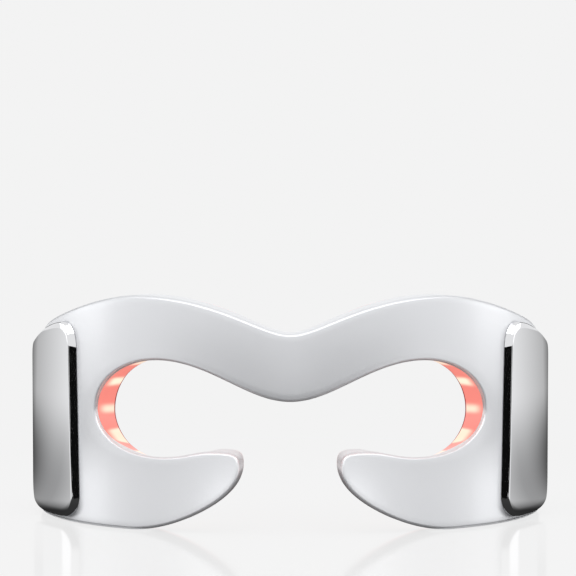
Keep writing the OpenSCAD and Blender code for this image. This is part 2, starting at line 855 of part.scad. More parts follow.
front_cover();
rear_lens();
side_cover_left();
side_cover_right();
temple_back_left();
temple_back_right();
temple_screws();
light_board();
leds_amber();
leds_red();
leds_deep_red();
leds_infrared();
light_resistors();
flex_tail_left();
flex_tail_right();
battery_cell();
battery_foam();
battery_protection_board();
battery_tabs();
control_board();
control_chip();
led_driver_chip();
driver_inductor();
flex_connector();
usb_c_port();
tact_switch();
switch_plunger();
power_button();
status_led();
status_light_pipe();
nose_pad();
brow_pad_left();
brow_pad_right();
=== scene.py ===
# %% [markdown]
# # An LED eye mask
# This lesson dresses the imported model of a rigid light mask. A pearl-silver cover wraps round the front of
# the head, chrome covers sit on its temples, and a translucent lens glows behind it.
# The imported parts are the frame: every piece here lies where they lie, so nothing has to be fitted by eye.

# %% Load the frame
from math import atan, cos, degrees, exp, hypot, pi, radians, sin

import bmesh
import bpy
from mathutils import Matrix, Vector


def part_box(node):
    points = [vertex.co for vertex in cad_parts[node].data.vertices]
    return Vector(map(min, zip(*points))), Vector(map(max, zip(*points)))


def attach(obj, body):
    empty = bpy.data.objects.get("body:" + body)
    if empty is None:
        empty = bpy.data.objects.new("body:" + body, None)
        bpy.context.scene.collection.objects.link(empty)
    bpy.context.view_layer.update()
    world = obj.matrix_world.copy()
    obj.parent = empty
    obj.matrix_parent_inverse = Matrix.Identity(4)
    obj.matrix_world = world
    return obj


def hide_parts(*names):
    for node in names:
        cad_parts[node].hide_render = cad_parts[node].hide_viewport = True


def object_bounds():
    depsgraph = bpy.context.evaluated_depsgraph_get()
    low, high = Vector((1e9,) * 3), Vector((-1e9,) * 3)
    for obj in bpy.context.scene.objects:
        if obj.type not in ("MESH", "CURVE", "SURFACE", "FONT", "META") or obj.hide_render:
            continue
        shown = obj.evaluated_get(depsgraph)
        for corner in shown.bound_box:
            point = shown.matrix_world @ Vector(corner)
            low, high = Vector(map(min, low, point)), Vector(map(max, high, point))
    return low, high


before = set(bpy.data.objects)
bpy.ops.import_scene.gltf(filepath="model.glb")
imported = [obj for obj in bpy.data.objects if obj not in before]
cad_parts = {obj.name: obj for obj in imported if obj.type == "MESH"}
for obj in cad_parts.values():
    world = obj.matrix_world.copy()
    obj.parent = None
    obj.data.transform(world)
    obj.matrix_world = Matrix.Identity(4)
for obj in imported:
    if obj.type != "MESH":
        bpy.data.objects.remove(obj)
cad_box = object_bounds()
scene = bpy.context.scene
scene.view_settings.view_transform = "Standard"
MM = 0.001


def put(name, data):
    """A new object in the scene, at the origin."""
    obj = bpy.data.objects.new(name, data)
    scene.collection.objects.link(obj)
    return obj


print("nodes:", len(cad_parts), "box:", cad_box)

# %% [markdown]
# ## Where the camera stands
# The photographer used a long lens a little above the mask. Straight lines hardly converge, the undersides
# stay hidden, and the rims' upper faces just show. The camera is pitched rather than shifted, so other views
# stay true.

# %% Camera
VIEW_ABOVE = 6.0
VIEW_DISTANCE = 780
AIM_BEHIND_FRONT = 30
AIM_HEIGHT = 34
AIM_PIXEL = (290.3, 412.0)
FRAME_PIXELS = 576
FOCAL_PIXELS = 2517
SENSOR = 36


def add_camera():
    data = bpy.data.cameras.new("camera")
    data.sensor_width = SENSOR
    data.lens = FOCAL_PIXELS / FRAME_PIXELS * SENSOR
    camera = put("camera", data)
    above = radians(VIEW_ABOVE)
    aim = Vector((0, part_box("front_cover")[0][1] / MM + AIM_BEHIND_FRONT, AIM_HEIGHT))
    camera.location = (aim + VIEW_DISTANCE * Vector((0, -cos(above), sin(above)))) * MM
    across = AIM_PIXEL[0] - FRAME_PIXELS / 2
    down = AIM_PIXEL[1] - FRAME_PIXELS / 2
    pitch = pi / 2 - above + atan(down / FOCAL_PIXELS)
    camera.rotation_euler = (pitch, 0, atan(across / FOCAL_PIXELS))
    scene.camera = camera
    print("lens:", round(data.lens, 1), "mm, pitch:", round(degrees(pitch), 2))


add_camera()

# %% [markdown]
# ## Nodes in a few words
# Every finish of the mask is a Principled shader, mostly with a little detail of its own, and every part that
# repeats is a tree of Geometry Nodes. One helper adds a node of either kind and sets or wires its inputs. The
# rest only name what is done often, so that a finish reads like its own description.

# %% Adding nodes


def feed(owner, target, value):
    """Wires an input to a socket, or sets it to a number, a vector or a colour."""
    if isinstance(value, bpy.types.NodeSocket):
        getattr(owner, "node_tree", owner).links.new(value, target)
    else:
        target.default_value = (*value, 1) if target.type == "RGBA" else value


def add_node(owner, kind, **values):
    """Adds a node to a material, a world or a tree; each value is a property of it or feeds an input."""
    tree = getattr(owner, "node_tree", owner)
    node = tree.nodes.new(kind if "Node" in kind else "ShaderNode" + kind)
    for key, value in values.items():
        if hasattr(node, key):
            setattr(node, key, value)
        else:
            feed(owner, node.inputs[key.replace("_", " ")], value)
    return node


def worked_out(owner, kind, operation, values):
    node = add_node(owner, kind, operation=operation)
    for target, value in zip(node.inputs, values):
        feed(owner, target, value)
    return node.outputs


def number(owner, operation, *values):
    return worked_out(owner, "Math", operation, values)[0]


def arrow(owner, operation, *values):
    """Vector arithmetic, in which a length comes out as a number."""
    return worked_out(owner, "VectorMath", operation, values)["Value" if operation == "LENGTH" else "Vector"]


def vector(owner, x, y, z):
    return add_node(owner, "CombineXYZ", X=x, Y=y, Z=z).outputs[0]


def mapped(owner, value, low, high, to_low, to_high, kind="LINEAR"):
    """A value that runs from low to high, drawn over another range and held at its ends."""
    span = add_node(owner, "MapRange", interpolation_type=kind, Value=value,
                    From_Min=low, From_Max=high, To_Min=to_low, To_Max=to_high)
    return span.outputs["Result"]


# %% Places and colours


def here(owner):
    return add_node(owner, "TexCoord").outputs["Object"]


def axes(owner):
    """The place on the object as x, y and z."""
    return add_node(owner, "SeparateXYZ", Vector=here(owner)).outputs


def stored(owner, name):
    """A number that is stored on the mesh under a name."""
    return add_node(owner, "Attribute", attribute_name=name).outputs["Fac"]


def mixed(owner, share, first, second):
    return add_node(owner, "Mix", data_type="RGBA", Factor=share, A=first, B=second).outputs["Result"]


def ramp(owner, value, *stops):
    """A colour that runs between two stops, each a position and a colour."""
    node = add_node(owner, "ValToRGB", Fac=value)
    for element, (position, color) in zip(node.color_ramp.elements, stops):
        element.position, element.color = position, (*color, 1)
    return node.outputs["Color"]


# %% Shaders and materials


def layered(owner, share, under, over):
    """One shader under a share of another."""
    node = add_node(owner, "MixShader", Fac=share)
    for target, shader in zip(list(node.inputs)[1:], (under, over)):
        feed(owner, target, shader)
    return node.outputs[0]


def surface(material, **sockets):
    """Sets or wires inputs of a material's Principled shader."""
    shader = material.node_tree.nodes["Principled BSDF"]
    for key, value in sockets.items():
        feed(material, shader.inputs[key.replace("_", " ")], value)


def new_material(name, color, **sockets):
    material = bpy.data.materials.new(name)
    material.use_nodes = True
    surface(material, Base_Color=color, **sockets)
    return material


def own_shader(material, shader):
    """Puts another shader in place of the Principled one."""
    nodes = material.node_tree.nodes
    nodes.remove(nodes["Principled BSDF"])
    feed(material, nodes["Material Output"].inputs["Surface"], shader)


# %% Detail for finishes


def object_noise(material, scale, detail=2.0):
    return add_node(material, "TexNoise", Scale=scale, Detail=detail, Vector=here(material)).outputs["Fac"]


def bump_from(material, value, height):
    bump = add_node(material, "Bump", Strength=1.0, Distance=height * MM, Height=value)
    surface(material, Normal=bump.outputs["Normal"])


def add_bump(material, scale, height, detail=2.0):
    bump_from(material, object_noise(material, scale, detail), height)


def vary_roughness(material, scale, low, high):
    surface(material, Roughness=mapped(material, object_noise(material, scale), 0.0, 1.0, low, high))


def vary_color(material, scale, dark, light):
    surface(material, Base_Color=ramp(material, object_noise(material, scale), (0.35, dark), (0.65, light)))


def paint(obj, material):
    obj.data.materials.clear()
    obj.data.materials.append(material)


def dress(piece, material, body, node):
    """Paints a piece, hangs it on the empty of the body that carries it, and hides the solid that it replaces.
    """
    paint(piece, material)
    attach(piece, body)
    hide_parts(node)
    print(piece.name, "rides on", body)


# %% [markdown]
# ## The curve that everything follows
# The mask is drawn flat and then wrapped. A place on it has s, the distance sideways along the front, z, the
# height, and n, the distance outward. In plan the front is a wide arc that tightens at the temples.

# %% Wrapping a flat drawing
BROW_R, BROW_ANGLE = 100, 33
TEMPLE_R, TEMPLE_ANGLE = 57, 86
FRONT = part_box("front_cover")[0][1] / MM
BEND_S = BROW_R * radians(BROW_ANGLE)
BEND_X = (BROW_R - TEMPLE_R) * sin(radians(BROW_ANGLE))
BEND_Y = BROW_R - (BROW_R - TEMPLE_R) * cos(radians(BROW_ANGLE))
STRAIGHT_S = BEND_S + TEMPLE_R * radians(TEMPLE_ANGLE - BROW_ANGLE)


def heading(s):
    if abs(s) <= BEND_S:
        return abs(s) / BROW_R
    turned = radians(BROW_ANGLE) + (abs(s) - BEND_S) / TEMPLE_R
    return min(turned, radians(TEMPLE_ANGLE))


def wrap(s, z, n):
    angle = heading(s)
    if abs(s) <= BEND_S:
        x, y = (BROW_R + n) * sin(angle), BROW_R - (BROW_R + n) * cos(angle)
    else:
        run = max(abs(s) - STRAIGHT_S, 0)
        x = BEND_X + (TEMPLE_R + n) * sin(angle) + run * cos(angle)
        y = BEND_Y - (TEMPLE_R + n) * cos(angle) + run * sin(angle)
    return Vector((x if s >= 0 else -x, y + FRONT, z)) * MM


def on_surface(s, z):
    """A frame with x along the surface, y inward and z up, as a matrix in metres."""
    side = 1 if s >= 0 else -1
    return Matrix.Translation(wrap(s, z, 0)) @ Matrix.Rotation(side * heading(s), 4, "Z")


print("temple surface at", [round(v, 4) for v in wrap(100, 30, 0)])

# %% [markdown]
# ## Outlines as smooth paths
# An outline is a chain of Bezier spans between knots. Each knot has a place, a heading in
# degrees, and how hard it pulls before and after. Such curves keep the edge free of flats at any resolution.

# %% Smooth paths


def direction(angle):
    return Vector((cos(radians(angle)), sin(radians(angle))))


def bezier(first, last, t):
    start, end = Vector(first[0]), Vector(last[0])
    leave = start + direction(first[1]) * first[3]
    arrive = end - direction(last[1]) * last[2]
    u = 1 - t
    return start * u**3 + leave * 3 * t * u * u + arrive * 3 * t * t * u + end * t**3


def smooth_path(knots, counts):
    points = [Vector(knots[0][0])]
    for first, last, count in zip(knots, knots[1:], counts):
        points += [bezier(first, last, k / count) for k in range(1, count + 1)]
    return points


FINE = 5
TIP = [(15.3, 20.4), 90, 7.8, 4]
TIP_END = [(22.7, 25), 0, 6, 4]
edge_knots = [
    [(0, 60.4), 0, 0, 9], [(47, 71.3), 0, 26, 8], [(80, 64.7), -16, 17, 5],
    [(97, 59), -26, 6, 5], [(110, 46), -90, 8, 8], [(110, 14), -90, 8, 8],
    [(101, 0), 180, 6, 6], [(80, 0), 180, 5, 8], [(52, 0), 180, 9, 6.5],
    [(31, 4.8), 155, 7.5, 5.5], TIP,
]
eye_knots = [
    [(0, 40.1), 0, 0, 13], [(41, 51.8), 0, 17, 12.8], [(64.3, 36.2), -90, 7.8, 5.4],
    [(41, 22.8), 180, 15.5, 8.5], [(22.7, 25), 180, 7, 4],
]
edge_counts = [n * FINE for n in (8, 6, 3, 4, 3, 4, 3, 5, 4, 6)]
eye_counts = [n * FINE for n in (8, 14, 14, 10)]
third = [k / (3 * FINE) for k in range(1, FINE + 1)]
half_outer = smooth_path(edge_knots, edge_counts) + [bezier(TIP, TIP_END, t) for t in third]
half_inner = smooth_path(eye_knots, eye_counts) + [bezier(TIP, TIP_END, 1 - t) for t in third]


def mirrored(points):
    return [Vector((-p.x, p.y)) for p in points]


outer_line = mirrored(half_outer[:0:-1]) + half_outer
inner_line = mirrored(half_inner[:0:-1]) + half_inner
RIBS = len(outer_line)
print("ribs across the mask:", RIBS)

# %% [markdown]
# ## Shells from rings
# A moulded shell is a closed loop of edge, repeated at other insets and depths. Joining ring to ring makes
# its walls, and strips across the ribs cap it in front and behind. The same builder makes every shell here.

# %% Rings


def between(a, b, steps):
    return [a.lerp(b, k / steps) for k in range(1, steps)]


def rib_loop(a, b, first, last):
    return a + last + b[::-1] + first[::-1]


def inset(loop, amounts):
    """Moves each point of a loop inward along the mitre of its two sides."""
    points = []
    for i, point in enumerate(loop):
        before = (point - loop[i - 1]).normalized()
        after = (loop[(i + 1) % len(loop)] - point).normalized()
        left, right = Vector((before.y, -before.x)), Vector((after.y, -after.x))
        step = amounts[i] if isinstance(amounts, list) else amounts
        points.append(point + (left + right) / (1 + left.dot(right)) * step)
    return points


def even_ring(loop, amount, n):
    return inset(loop, amount), [n] * len(loop)


# %% Shells


def shell_mesh(name, rings, ribs, steps):
    """Rings run from the cap that faces outward, over the edge, to the cap that faces the skin."""
    count = len(rings[0][0])
    flat = [(p.x, p.y, n) for loop, levels in rings for p, n in zip(loop, levels)]
    faces = []
    for r in range(len(rings) - 1):
        for i in range(count):
            a, b = r * count + i, r * count + (i + 1) % count
            faces.append((a, b, b + count, a + count))

    def add_cap(base, loop, levels, outward):
        grid = {}
        for j in range(ribs):
            far = 2 * ribs + steps - 2 - j
            grid[j, 0], grid[j, steps] = base + j, base + far
            for k in range(1, steps):
                if j == 0:
                    grid[j, k] = base + 2 * ribs + 2 * steps - 2 - k
                elif j == ribs - 1:
                    grid[j, k] = base + ribs + k - 1
                else:
                    t = k / steps
                    p = loop[j].lerp(loop[far], t)
                    grid[j, k] = len(flat)
                    flat.append((p.x, p.y, levels[j] * (1 - t) + levels[far] * t))
        for j in range(ribs - 1):
            for k in range(steps):
                quad = (grid[j, k], grid[j + 1, k], grid[j + 1, k + 1], grid[j, k + 1])
                faces.append(quad[::-1] if outward else quad)

    add_cap(0, *rings[0], True)
    add_cap((len(rings) - 1) * count, *rings[-1], False)
    mesh = bpy.data.meshes.new(name)
    mesh.from_pydata([wrap(*p) for p in flat], [], faces)
    mesh.update()
    return mesh, flat


# %% Pieces and their volume


def smooth(mesh, under=35):
    """Smooth shading, save at edges that turn by more than an angle in degrees."""
    mesh.set_sharp_from_angle(angle=radians(under))
    mesh.polygons.foreach_set("use_smooth", [True] * len(mesh.polygons))


def add_piece(name, mesh, smooth_under=35):
    obj = put(name, mesh)
    mesh.validate()
    smooth(mesh, smooth_under)
    return obj


def volume(obj):
    """The volume in cubic centimetres, and how many edges are open."""
    work = bmesh.new()
    work.from_mesh(obj.data)
    size = work.calc_volume(signed=True)
    open_edges = sum(1 for edge in work.edges if len(edge.link_faces) != 2)
    work.free()
    return round(size * 1e6, 2), open_edges


# %% [markdown]
# ## The pearl cover
# The front cover is a moulded shell with a thin skin, a deep rim round its outer edge and a shallow lip round
# each eye. Its rings mix the two sections, and the mix fades at the hook tips, where the edges run together.
# All sizes are in millimetres, and a depth is counted from the front face.

# %% Sizes of the cover and the lens
DEPTH, SKIN, RIM, RIM_DEPTH, LIP_DEPTH = 9.7, 1.6, 1.6, 7.7, 1.7
FIT, WALL, FLANGE, FLOOR, LENS_WALL, BACK_WALL = 0.15, 1.2, 0.2, 1.2, 3.5, 1.8
SEAT = RIM_DEPTH + FIT
WALL_OUTER = RIM + FIT
WALL_INNER = WALL_OUTER + WALL
REAR_S, SEAM_S = 110, 80
SHALLOW_FROM, SHALLOW_FADE = 15.5, 3.5
FALL, FLARE, FALL_RIBS = 1.0, 1.2, 6
EYE_TOP, EYE_MID, EYE_LOW = 51.8, 36.2, 22.8
print("cover wall", RIM, "lens wall starts at", WALL_OUTER)

# %% The loop round the mask


def ease(x):
    """Rises smoothly from 0 to 1 while x goes from -1 to 1."""
    u = min(max(0.5 + x / 2, 0), 1)
    return u * u * (3 - 2 * u)


def clipped(a, b, limit):
    """A rib's outer point, or the place where the rib crosses the limit if the point lies past it."""
    if abs(a.x) <= limit:
        return a
    return b.lerp(a, (limit - abs(b.x)) / (abs(a.x) - abs(b.x)))


def tip_points(steps):
    return [bezier(TIP, TIP_END, (1 + k / steps) / 3) for k in range(1, steps)]


def mask_loop(limit, steps):
    a = [clipped(p, q, limit) for p, q in zip(outer_line, inner_line)]
    return rib_loop(a, inner_line, mirrored(tip_points(steps)), tip_points(steps))


# %% Sections along the loop


def eye_shares(count, steps, share):
    """A share at each point of the loop's eye edge, from the number of ribs to the nearer hook tip."""
    ribs = [i - RIBS - steps + 1 for i in range(count)]
    return [share(min(r, RIBS - 1 - r) / FINE) if 0 <= r < RIBS else 0.0 for r in ribs]


def mask_rings(loop, steps, sections):
    """Each section is ((inset, n) at the outer edge, (inset, n) at the eye's edge).

    Towards the face the eye openings sink by FALL, and their edges part by FLARE each.
    """
    shallow = eye_shares(len(loop), steps, lambda r: ease((r - SHALLOW_FROM) / SHALLOW_FADE))
    falls = eye_shares(len(loop), steps, lambda r: ease(2 * r / FALL_RIBS - 1))
    falls = [w * (FALL - FLARE * (p.y - EYE_MID) / (EYE_TOP - EYE_LOW) * 2) for w, p in zip(falls, loop)]
    rings = []
    for edge, eye in sections:
        amounts = [edge[0] * (1 - w) + eye[0] * w for w in shallow]
        levels = [edge[1] * (1 - w) + eye[1] * w for w in shallow]
        line = inset(loop, amounts)
        line = [p + Vector((0, fall * n / DEPTH)) for p, fall, n in zip(line, falls, levels)]
        rings.append((line, levels))
    return rings


def rounded_edge(radius, start, parts=6):
    """Sections of a quarter round from a face at level start to the side below it."""
    arc = [pi / 2 * k / parts for k in range(parts + 1)]
    return [(radius * (1 - sin(a)), start - radius * (1 - cos(a))) for a in arc]


def same(sections):
    return [(section, section) for section in sections]


# %% Cover mesh
COVER_STEPS = 12
NICK = 0.25


def build_cover():
    loop = mask_loop(REAR_S, COVER_STEPS)
    sections = same(rounded_edge(1.0, 0))
    sections += [
        ((0, NICK - RIM_DEPTH), (0, NICK - LIP_DEPTH)),
        ((NICK, -RIM_DEPTH), (NICK, -LIP_DEPTH)),
        ((RIM - NICK, -RIM_DEPTH), (RIM - NICK, -LIP_DEPTH)),
        ((RIM, NICK - RIM_DEPTH), (RIM, -SKIN - 0.03)),
        ((RIM, -SKIN), (RIM, -SKIN)),
    ]
    rings = mask_rings(loop, COVER_STEPS, sections)
    return add_piece("pearl_front_cover", shell_mesh("cover", rings, RIBS, COVER_STEPS)[0])


cover = build_cover()
print("cover volume and open edges:", volume(cover))

# %% [markdown]
# ## The lens
# The lens closes the face side from one temple to the other. It is red inside, because the lights behind it
# shine through. A soft glow round every light is stored on the mesh, and the material reads it. The lights
# stand in two rows round each eye and in two parts of a third, at even steps along each line.

# %% Light places
LED_W, LED_H, LED_T = 2.8, 3.5, 0.8
ROW_START, ROW_PITCH = 5.1, 4.7
FLEX_Y = SKIN + 2 * FIT
LED_Y = FLEX_Y + 0.4 + 2 * FIT


def row_line(first, last, distance):
    """A line at a distance from the eye's edge, from one rib to another."""
    ribs = range(first * FINE, last * FINE + 1, FINE)
    return [half_inner[j] + (half_outer[j] - half_inner[j]).normalized() * distance for j in ribs]


def spread(line, count):
    """Places spaced evenly along a row."""
    along = [0.0]
    for a, b in zip(line, line[1:]):
        along.append(along[-1] + (b - a).length)
    places = []
    for k in range(count):
        want = along[-1] * k / (count - 1)
        i = max(j for j in range(len(line) - 1) if along[j] <= want or j == 0)
        places.append(line[i].lerp(line[i + 1], (want - along[i]) / (along[i + 1] - along[i])))
    return places


light_places = (
    spread(row_line(3, 44, ROW_START), 10)
    + spread(row_line(2, 44, ROW_START + ROW_PITCH), 15)
    + spread(row_line(3, 11, ROW_START + 2 * ROW_PITCH), 5)
    + spread(row_line(29, 38, ROW_START + 2 * ROW_PITCH), 7)
)
resistor_places = spread(row_line(12, 16, ROW_START + 2 * ROW_PITCH), 4)
resistor_places += spread(row_line(25, 27, ROW_START + 2 * ROW_PITCH), 2)
KINDS = 4
LEVELS = (1.0, 0.9, 0.6, 0.3)  # how bright each kind shows through the lens
print("lights per side:", len(light_places))

# %% Glow on the lens
WALL_REACH, FLOOR_REACH = 8, 16
STREAK_FROM, STREAK_SOFT, SPOT_SOFT = ROW_START - 0.35, 0.17, 9.5
STREAK_LEAST, STREAK_GAIN, STREAK_TOP, STREAK_FADE = 0.45, 0.3, -5.6, 2.2
UNLIT_S, UNLIT_Z, UNLIT_R, UNLIT_FADE = 19, 20, 11, 5


def glow_at(s, z, n, on_wall):
    """Light at a point: round spots on the lens's floor, and narrow streaks on its eye-side wall."""
    total = 0.0
    for i, place in enumerate(light_places):
        away = hypot(abs(s) - place.x, z - place.y)
        if on_wall and away < WALL_REACH:
            beside = max(away - STREAK_FROM, 0)
            strength = STREAK_LEAST + STREAK_GAIN * LEVELS[i % KINDS]
            total += strength * exp(-beside * beside / STREAK_SOFT) * ease(1 - (n - STREAK_TOP) / STREAK_FADE)
        elif not on_wall and away < FLOOR_REACH:
            total += LEVELS[i % KINDS] * exp(-away * away / SPOT_SOFT)
    return min(total, 1.0)


# %% Sections of the lens
LENS_STEPS = 16
LINE_FROM, EYE_FLANGE = -8.8, 0.1
WALL_RING, LINE_RING = 4, 13


def back_round(parts=5):
    """Insets and levels of the rounded back edge that the lens and the temple backs share."""
    arc = [pi / 2 * k / parts for k in range(parts + 1)]
    return [(0.8 * (1 - cos(a)), 0.7 * (1 - sin(a)) - DEPTH) for a in arc]


def lens_sections():
    """The lens's section, from its cavity over the rim to its rounded back, at the edge and at the eye."""
    floor = FLOOR - DEPTH
    lip = -LIP_DEPTH - FIT
    sections = [
        ((WALL_INNER, floor), (WALL + 0.1, floor)),
        ((WALL_INNER, LENS_WALL + floor), (WALL_OUTER + 0.1, lip)),
        ((WALL_OUTER, LENS_WALL + floor), (WALL_OUTER + 0.05, lip)),
        ((WALL_OUTER, -SEAT), (WALL_OUTER, lip)),
    ]
    wall = [lip - 0.95 * k for k in range(8)] + [LINE_FROM, LINE_FROM - 0.12]
    sections += [((FLANGE, -SEAT - 0.12 * k), (EYE_FLANGE, level)) for k, level in enumerate(wall)]
    for back, level in back_round()[1:]:
        sections.append(((FLANGE + back, level), (EYE_FLANGE + back, level)))
    return sections


# %% Lens mesh


def build_lens():
    loop = mask_loop(SEAM_S, LENS_STEPS)
    rings = mask_rings(loop, LENS_STEPS, lens_sections())
    mesh, flat = shell_mesh("lens", rings, RIBS, LENS_STEPS)
    count = len(loop)
    shallow = eye_shares(count, LENS_STEPS, lambda r: ease((r - SHALLOW_FROM) / SHALLOW_FADE))

    def eye_side(first):
        return {r * count + i for r in range(first, len(rings) - 1) for i in range(count) if shallow[i] > 0}

    walls, lines = eye_side(WALL_RING), eye_side(LINE_RING)
    values = {
        "glow": [glow_at(*p, i in walls) for i, p in enumerate(flat)],
        "edge_line": [float(i in lines) for i in range(len(flat))],
        "lit": [ease((hypot(abs(s) - UNLIT_S, z - UNLIT_Z) - UNLIT_R) / UNLIT_FADE) for s, z, _ in flat],
    }
    for name, numbers in values.items():
        mesh.attributes.new(name, "FLOAT", "POINT").data.foreach_set("value", numbers)
    return add_piece("glowing_rear_lens", mesh)


lens = build_lens()
print("lens volume and open edges:", volume(lens))

# %% [markdown]
# ## The chrome side covers
# A plated cover is lofted from a base outline to a smaller face, so its front wall slopes. Polished plating
# shows every flat, so it has a fine mesh and a rounded turn between the face and the wall.

# %% Lines of a side cover
SIDE_H, SIDE_WALL, SIDE_S, SIDE_REAR, SIDE_TOP, SIDE_LOW = 2.5, 1.2, 72, 108.2, 62.3, 1.5
SIDE_CORNER, SIDE_TAIL, SIDE_EDGE, SIDE_LEAN, SIDE_DRAFT = 6.2, 7.2, 0.5, 0.9, 0.35
REAR_TOP, REAR_LOW = 46, 14
SIDE_COUNTS = [24, 24, 24]
SIDE_RIBS = sum(SIDE_COUNTS) + 1
SIDE_STEPS = 30


def side_lines():
    """The upper and the lower line of a side cover's base, from its front end to its rear."""
    top = smooth_path(
        [
            [(SIDE_S + 0.4, SIDE_TOP - 8.3), 90, 0, 4.4], [(SIDE_S + SIDE_CORNER, SIDE_TOP), -3, 3.4, 6],
            [(SIDE_REAR - SIDE_TAIL, SIDE_TOP - 7.1), -19, 8, 4], [(SIDE_REAR, REAR_TOP + 2), -90, 4, 0],
        ],
        SIDE_COUNTS,
    )
    low = smooth_path(
        [
            [(SIDE_S - 0.8, SIDE_LOW + 7), -90, 0, 3.8], [(SIDE_S + SIDE_CORNER, SIDE_LOW), 0, 3.8, 8],
            [(SIDE_REAR - SIDE_TAIL, SIDE_LOW + 1.7), 13, 8, 4], [(SIDE_REAR, REAR_LOW - 2), 90, 4, 0],
        ],
        SIDE_COUNTS,
    )
    return top, low


# %% Side covers


def build_side_cover():
    top, low = side_lines()
    front = between(low[0], top[0], SIDE_STEPS)[::-1]
    rear = between(top[-1], low[-1], SIDE_STEPS)
    base = rib_loop(top, low, front, rear)
    sides = []
    for i in range(SIDE_RIBS):
        share = min(i / SIDE_COUNTS[0], 1)
        sides.append(SIDE_LEAN * (1 - share) + SIDE_DRAFT * share)
    lean = rib_loop(sides, sides, [SIDE_LEAN] * len(front), [SIDE_DRAFT] * len(rear))
    face = inset(base, lean)
    rings = [even_ring(face, amount, level) for amount, level in rounded_edge(SIDE_EDGE, SIDE_H)]
    for k in range(1, 5):
        level = (SIDE_H - SIDE_EDGE) * (1 - k / 4) + FIT * k / 4
        rings.append(([p.lerp(q, k / 4) for p, q in zip(face, base)], [level] * len(base)))
    rings += [even_ring(base, SIDE_WALL, FIT), even_ring(face, SIDE_WALL, SIDE_H - SIDE_WALL)]
    return shell_mesh("side_cover", rings, SIDE_RIBS, SIDE_STEPS)[0]


def flipped(mesh, name):
    """The same mesh on the other side of the mask, with its faces turned to point outward again."""
    other = mesh.copy()
    other.name = name
    other.transform(Matrix.Scale(-1, 4, (1, 0, 0)))
    other.flip_normals()
    return other


side_mesh = build_side_cover()
side_left_mesh = flipped(side_mesh, "side_cover_left")
side_right = add_piece("chrome_side_cover_right", side_mesh, 50)
side_left = add_piece("chrome_side_cover_left", side_left_mesh, 50)
print("side covers:", volume(side_right), volume(side_left))

# %% [markdown]
# ## The temple backs
# Behind the battery and the board, plain matt shells close the temples. Each has an ear with a slot for the
# strap, and recesses for its screws. Booleans join and cut them, as the moulder's tool does.

# %% Temple backs
TEMPLE_FROM = edge_counts[0] + edge_counts[1]
TEMPLE_RIBS = edge_counts[2] + edge_counts[3] + 1
TEMPLE_STEPS = 20
TEMPLE_SPAN = 2 * TEMPLE_RIBS + edge_counts[4] - 2
EAR_L, EAR_T, SLOT_W, SLOT_H = 10.5, 2.8, 5.5, 24
EAR_H = SLOT_H + 8
EAR_Z = (REAR_TOP + REAR_LOW) / 2
SCREW_PLACES = [(86, 57), (101.2, 49.5)]
SCREW_R, SCREW_L, HEAD_R, HEAD_T = 0.95, 5, 1.8, 0.7


def temple_shell():
    a = half_outer[TEMPLE_FROM:TEMPLE_FROM + TEMPLE_RIBS]
    b = [half_outer[TEMPLE_FROM + TEMPLE_SPAN - i] for i in range(TEMPLE_RIBS)]
    loop = rib_loop(a, b, between(a[0], b[0], TEMPLE_STEPS), between(a[-1], b[-1], TEMPLE_STEPS))
    floor = FLOOR - DEPTH
    sections = [
        (WALL_INNER, floor), (WALL_INNER, BACK_WALL + floor), (WALL_OUTER, BACK_WALL + floor),
        (WALL_OUTER, -SEAT), (FLANGE, -SEAT),
    ]
    sections += [(FLANGE + back, level) for back, level in back_round()]
    rings = [even_ring(loop, amount, level) for amount, level in sections]
    return shell_mesh("temple_back", rings, TEMPLE_RIBS, TEMPLE_STEPS)[0]


# %% Flat outlines


def circle(x, z, radius, parts=32):
    turns = [2 * pi * k / parts for k in range(parts)]
    return [(x + radius * cos(turn), z + radius * sin(turn)) for turn in turns]


def rounded_rectangle(x, z, width, height, radius, parts=8):
    points = []
    for corner, (sx, sz) in enumerate(((1, 1), (-1, 1), (-1, -1), (1, -1))):
        for k in range(parts + 1):
            angle = pi / 2 * (corner + k / parts)
            points.append((
                x + sx * (width / 2 - radius) + radius * cos(angle),
                z + sz * (height / 2 - radius) + radius * sin(angle),
            ))
    return points


# %% Solids for Booleans


def rework(mesh, *changes):
    work = bmesh.new()
    work.from_mesh(mesh)
    for change in changes:
        change(work)
    work.to_mesh(mesh)
    work.free()


def ring_solid(name, rings, place, closed):
    """Joins rings of (x, z) points at depths y into a solid; closed rings run on into the first again."""
    count = len(rings[0][0])
    points = [place @ Vector((x * MM, y * MM, z * MM)) for ring, y in rings for x, z in ring]
    faces = []
    pairs = len(rings) if closed else len(rings) - 1
    for r in range(pairs):
        base, other = r * count, (r + 1) % len(rings) * count
        for i in range(count):
            j = (i + 1) % count
            faces.append((base + i, base + j, other + j, other + i))
    if not closed:
        faces.append(tuple(range(count))[::-1])
        faces.append(tuple((len(rings) - 1) * count + i for i in range(count)))
    mesh = bpy.data.meshes.new(name)
    mesh.from_pydata(points, [], faces)
    mesh.update()
    rework(mesh, lambda work: bmesh.ops.recalc_face_normals(work, faces=work.faces))
    return put(name, mesh)


# %% Booleans


def as_mesh(obj):
    """What an object's modifiers make of it, as a plain mesh, with the modifiers taken off."""
    bpy.context.view_layer.update()
    mesh = bpy.data.meshes.new_from_object(obj.evaluated_get(bpy.context.evaluated_depsgraph_get()))
    obj.modifiers.clear()
    obj.data = mesh
    return mesh


def cut_or_join(obj, other, operation):
    """A Boolean; then doubles along near-flat seams are merged and the slits between them filled."""
    change = obj.modifiers.new(operation.lower(), "BOOLEAN")
    change.operation = operation
    change.solver = "MANIFOLD"
    change.object = other
    result = as_mesh(obj)
    bpy.data.objects.remove(other)
    rework(
        result,
        lambda work: bmesh.ops.remove_doubles(work, verts=work.verts, dist=0.002 * MM),
        lambda work: bmesh.ops.holes_fill(work, edges=[e for e in work.edges if len(e.link_faces) == 1]),
    )


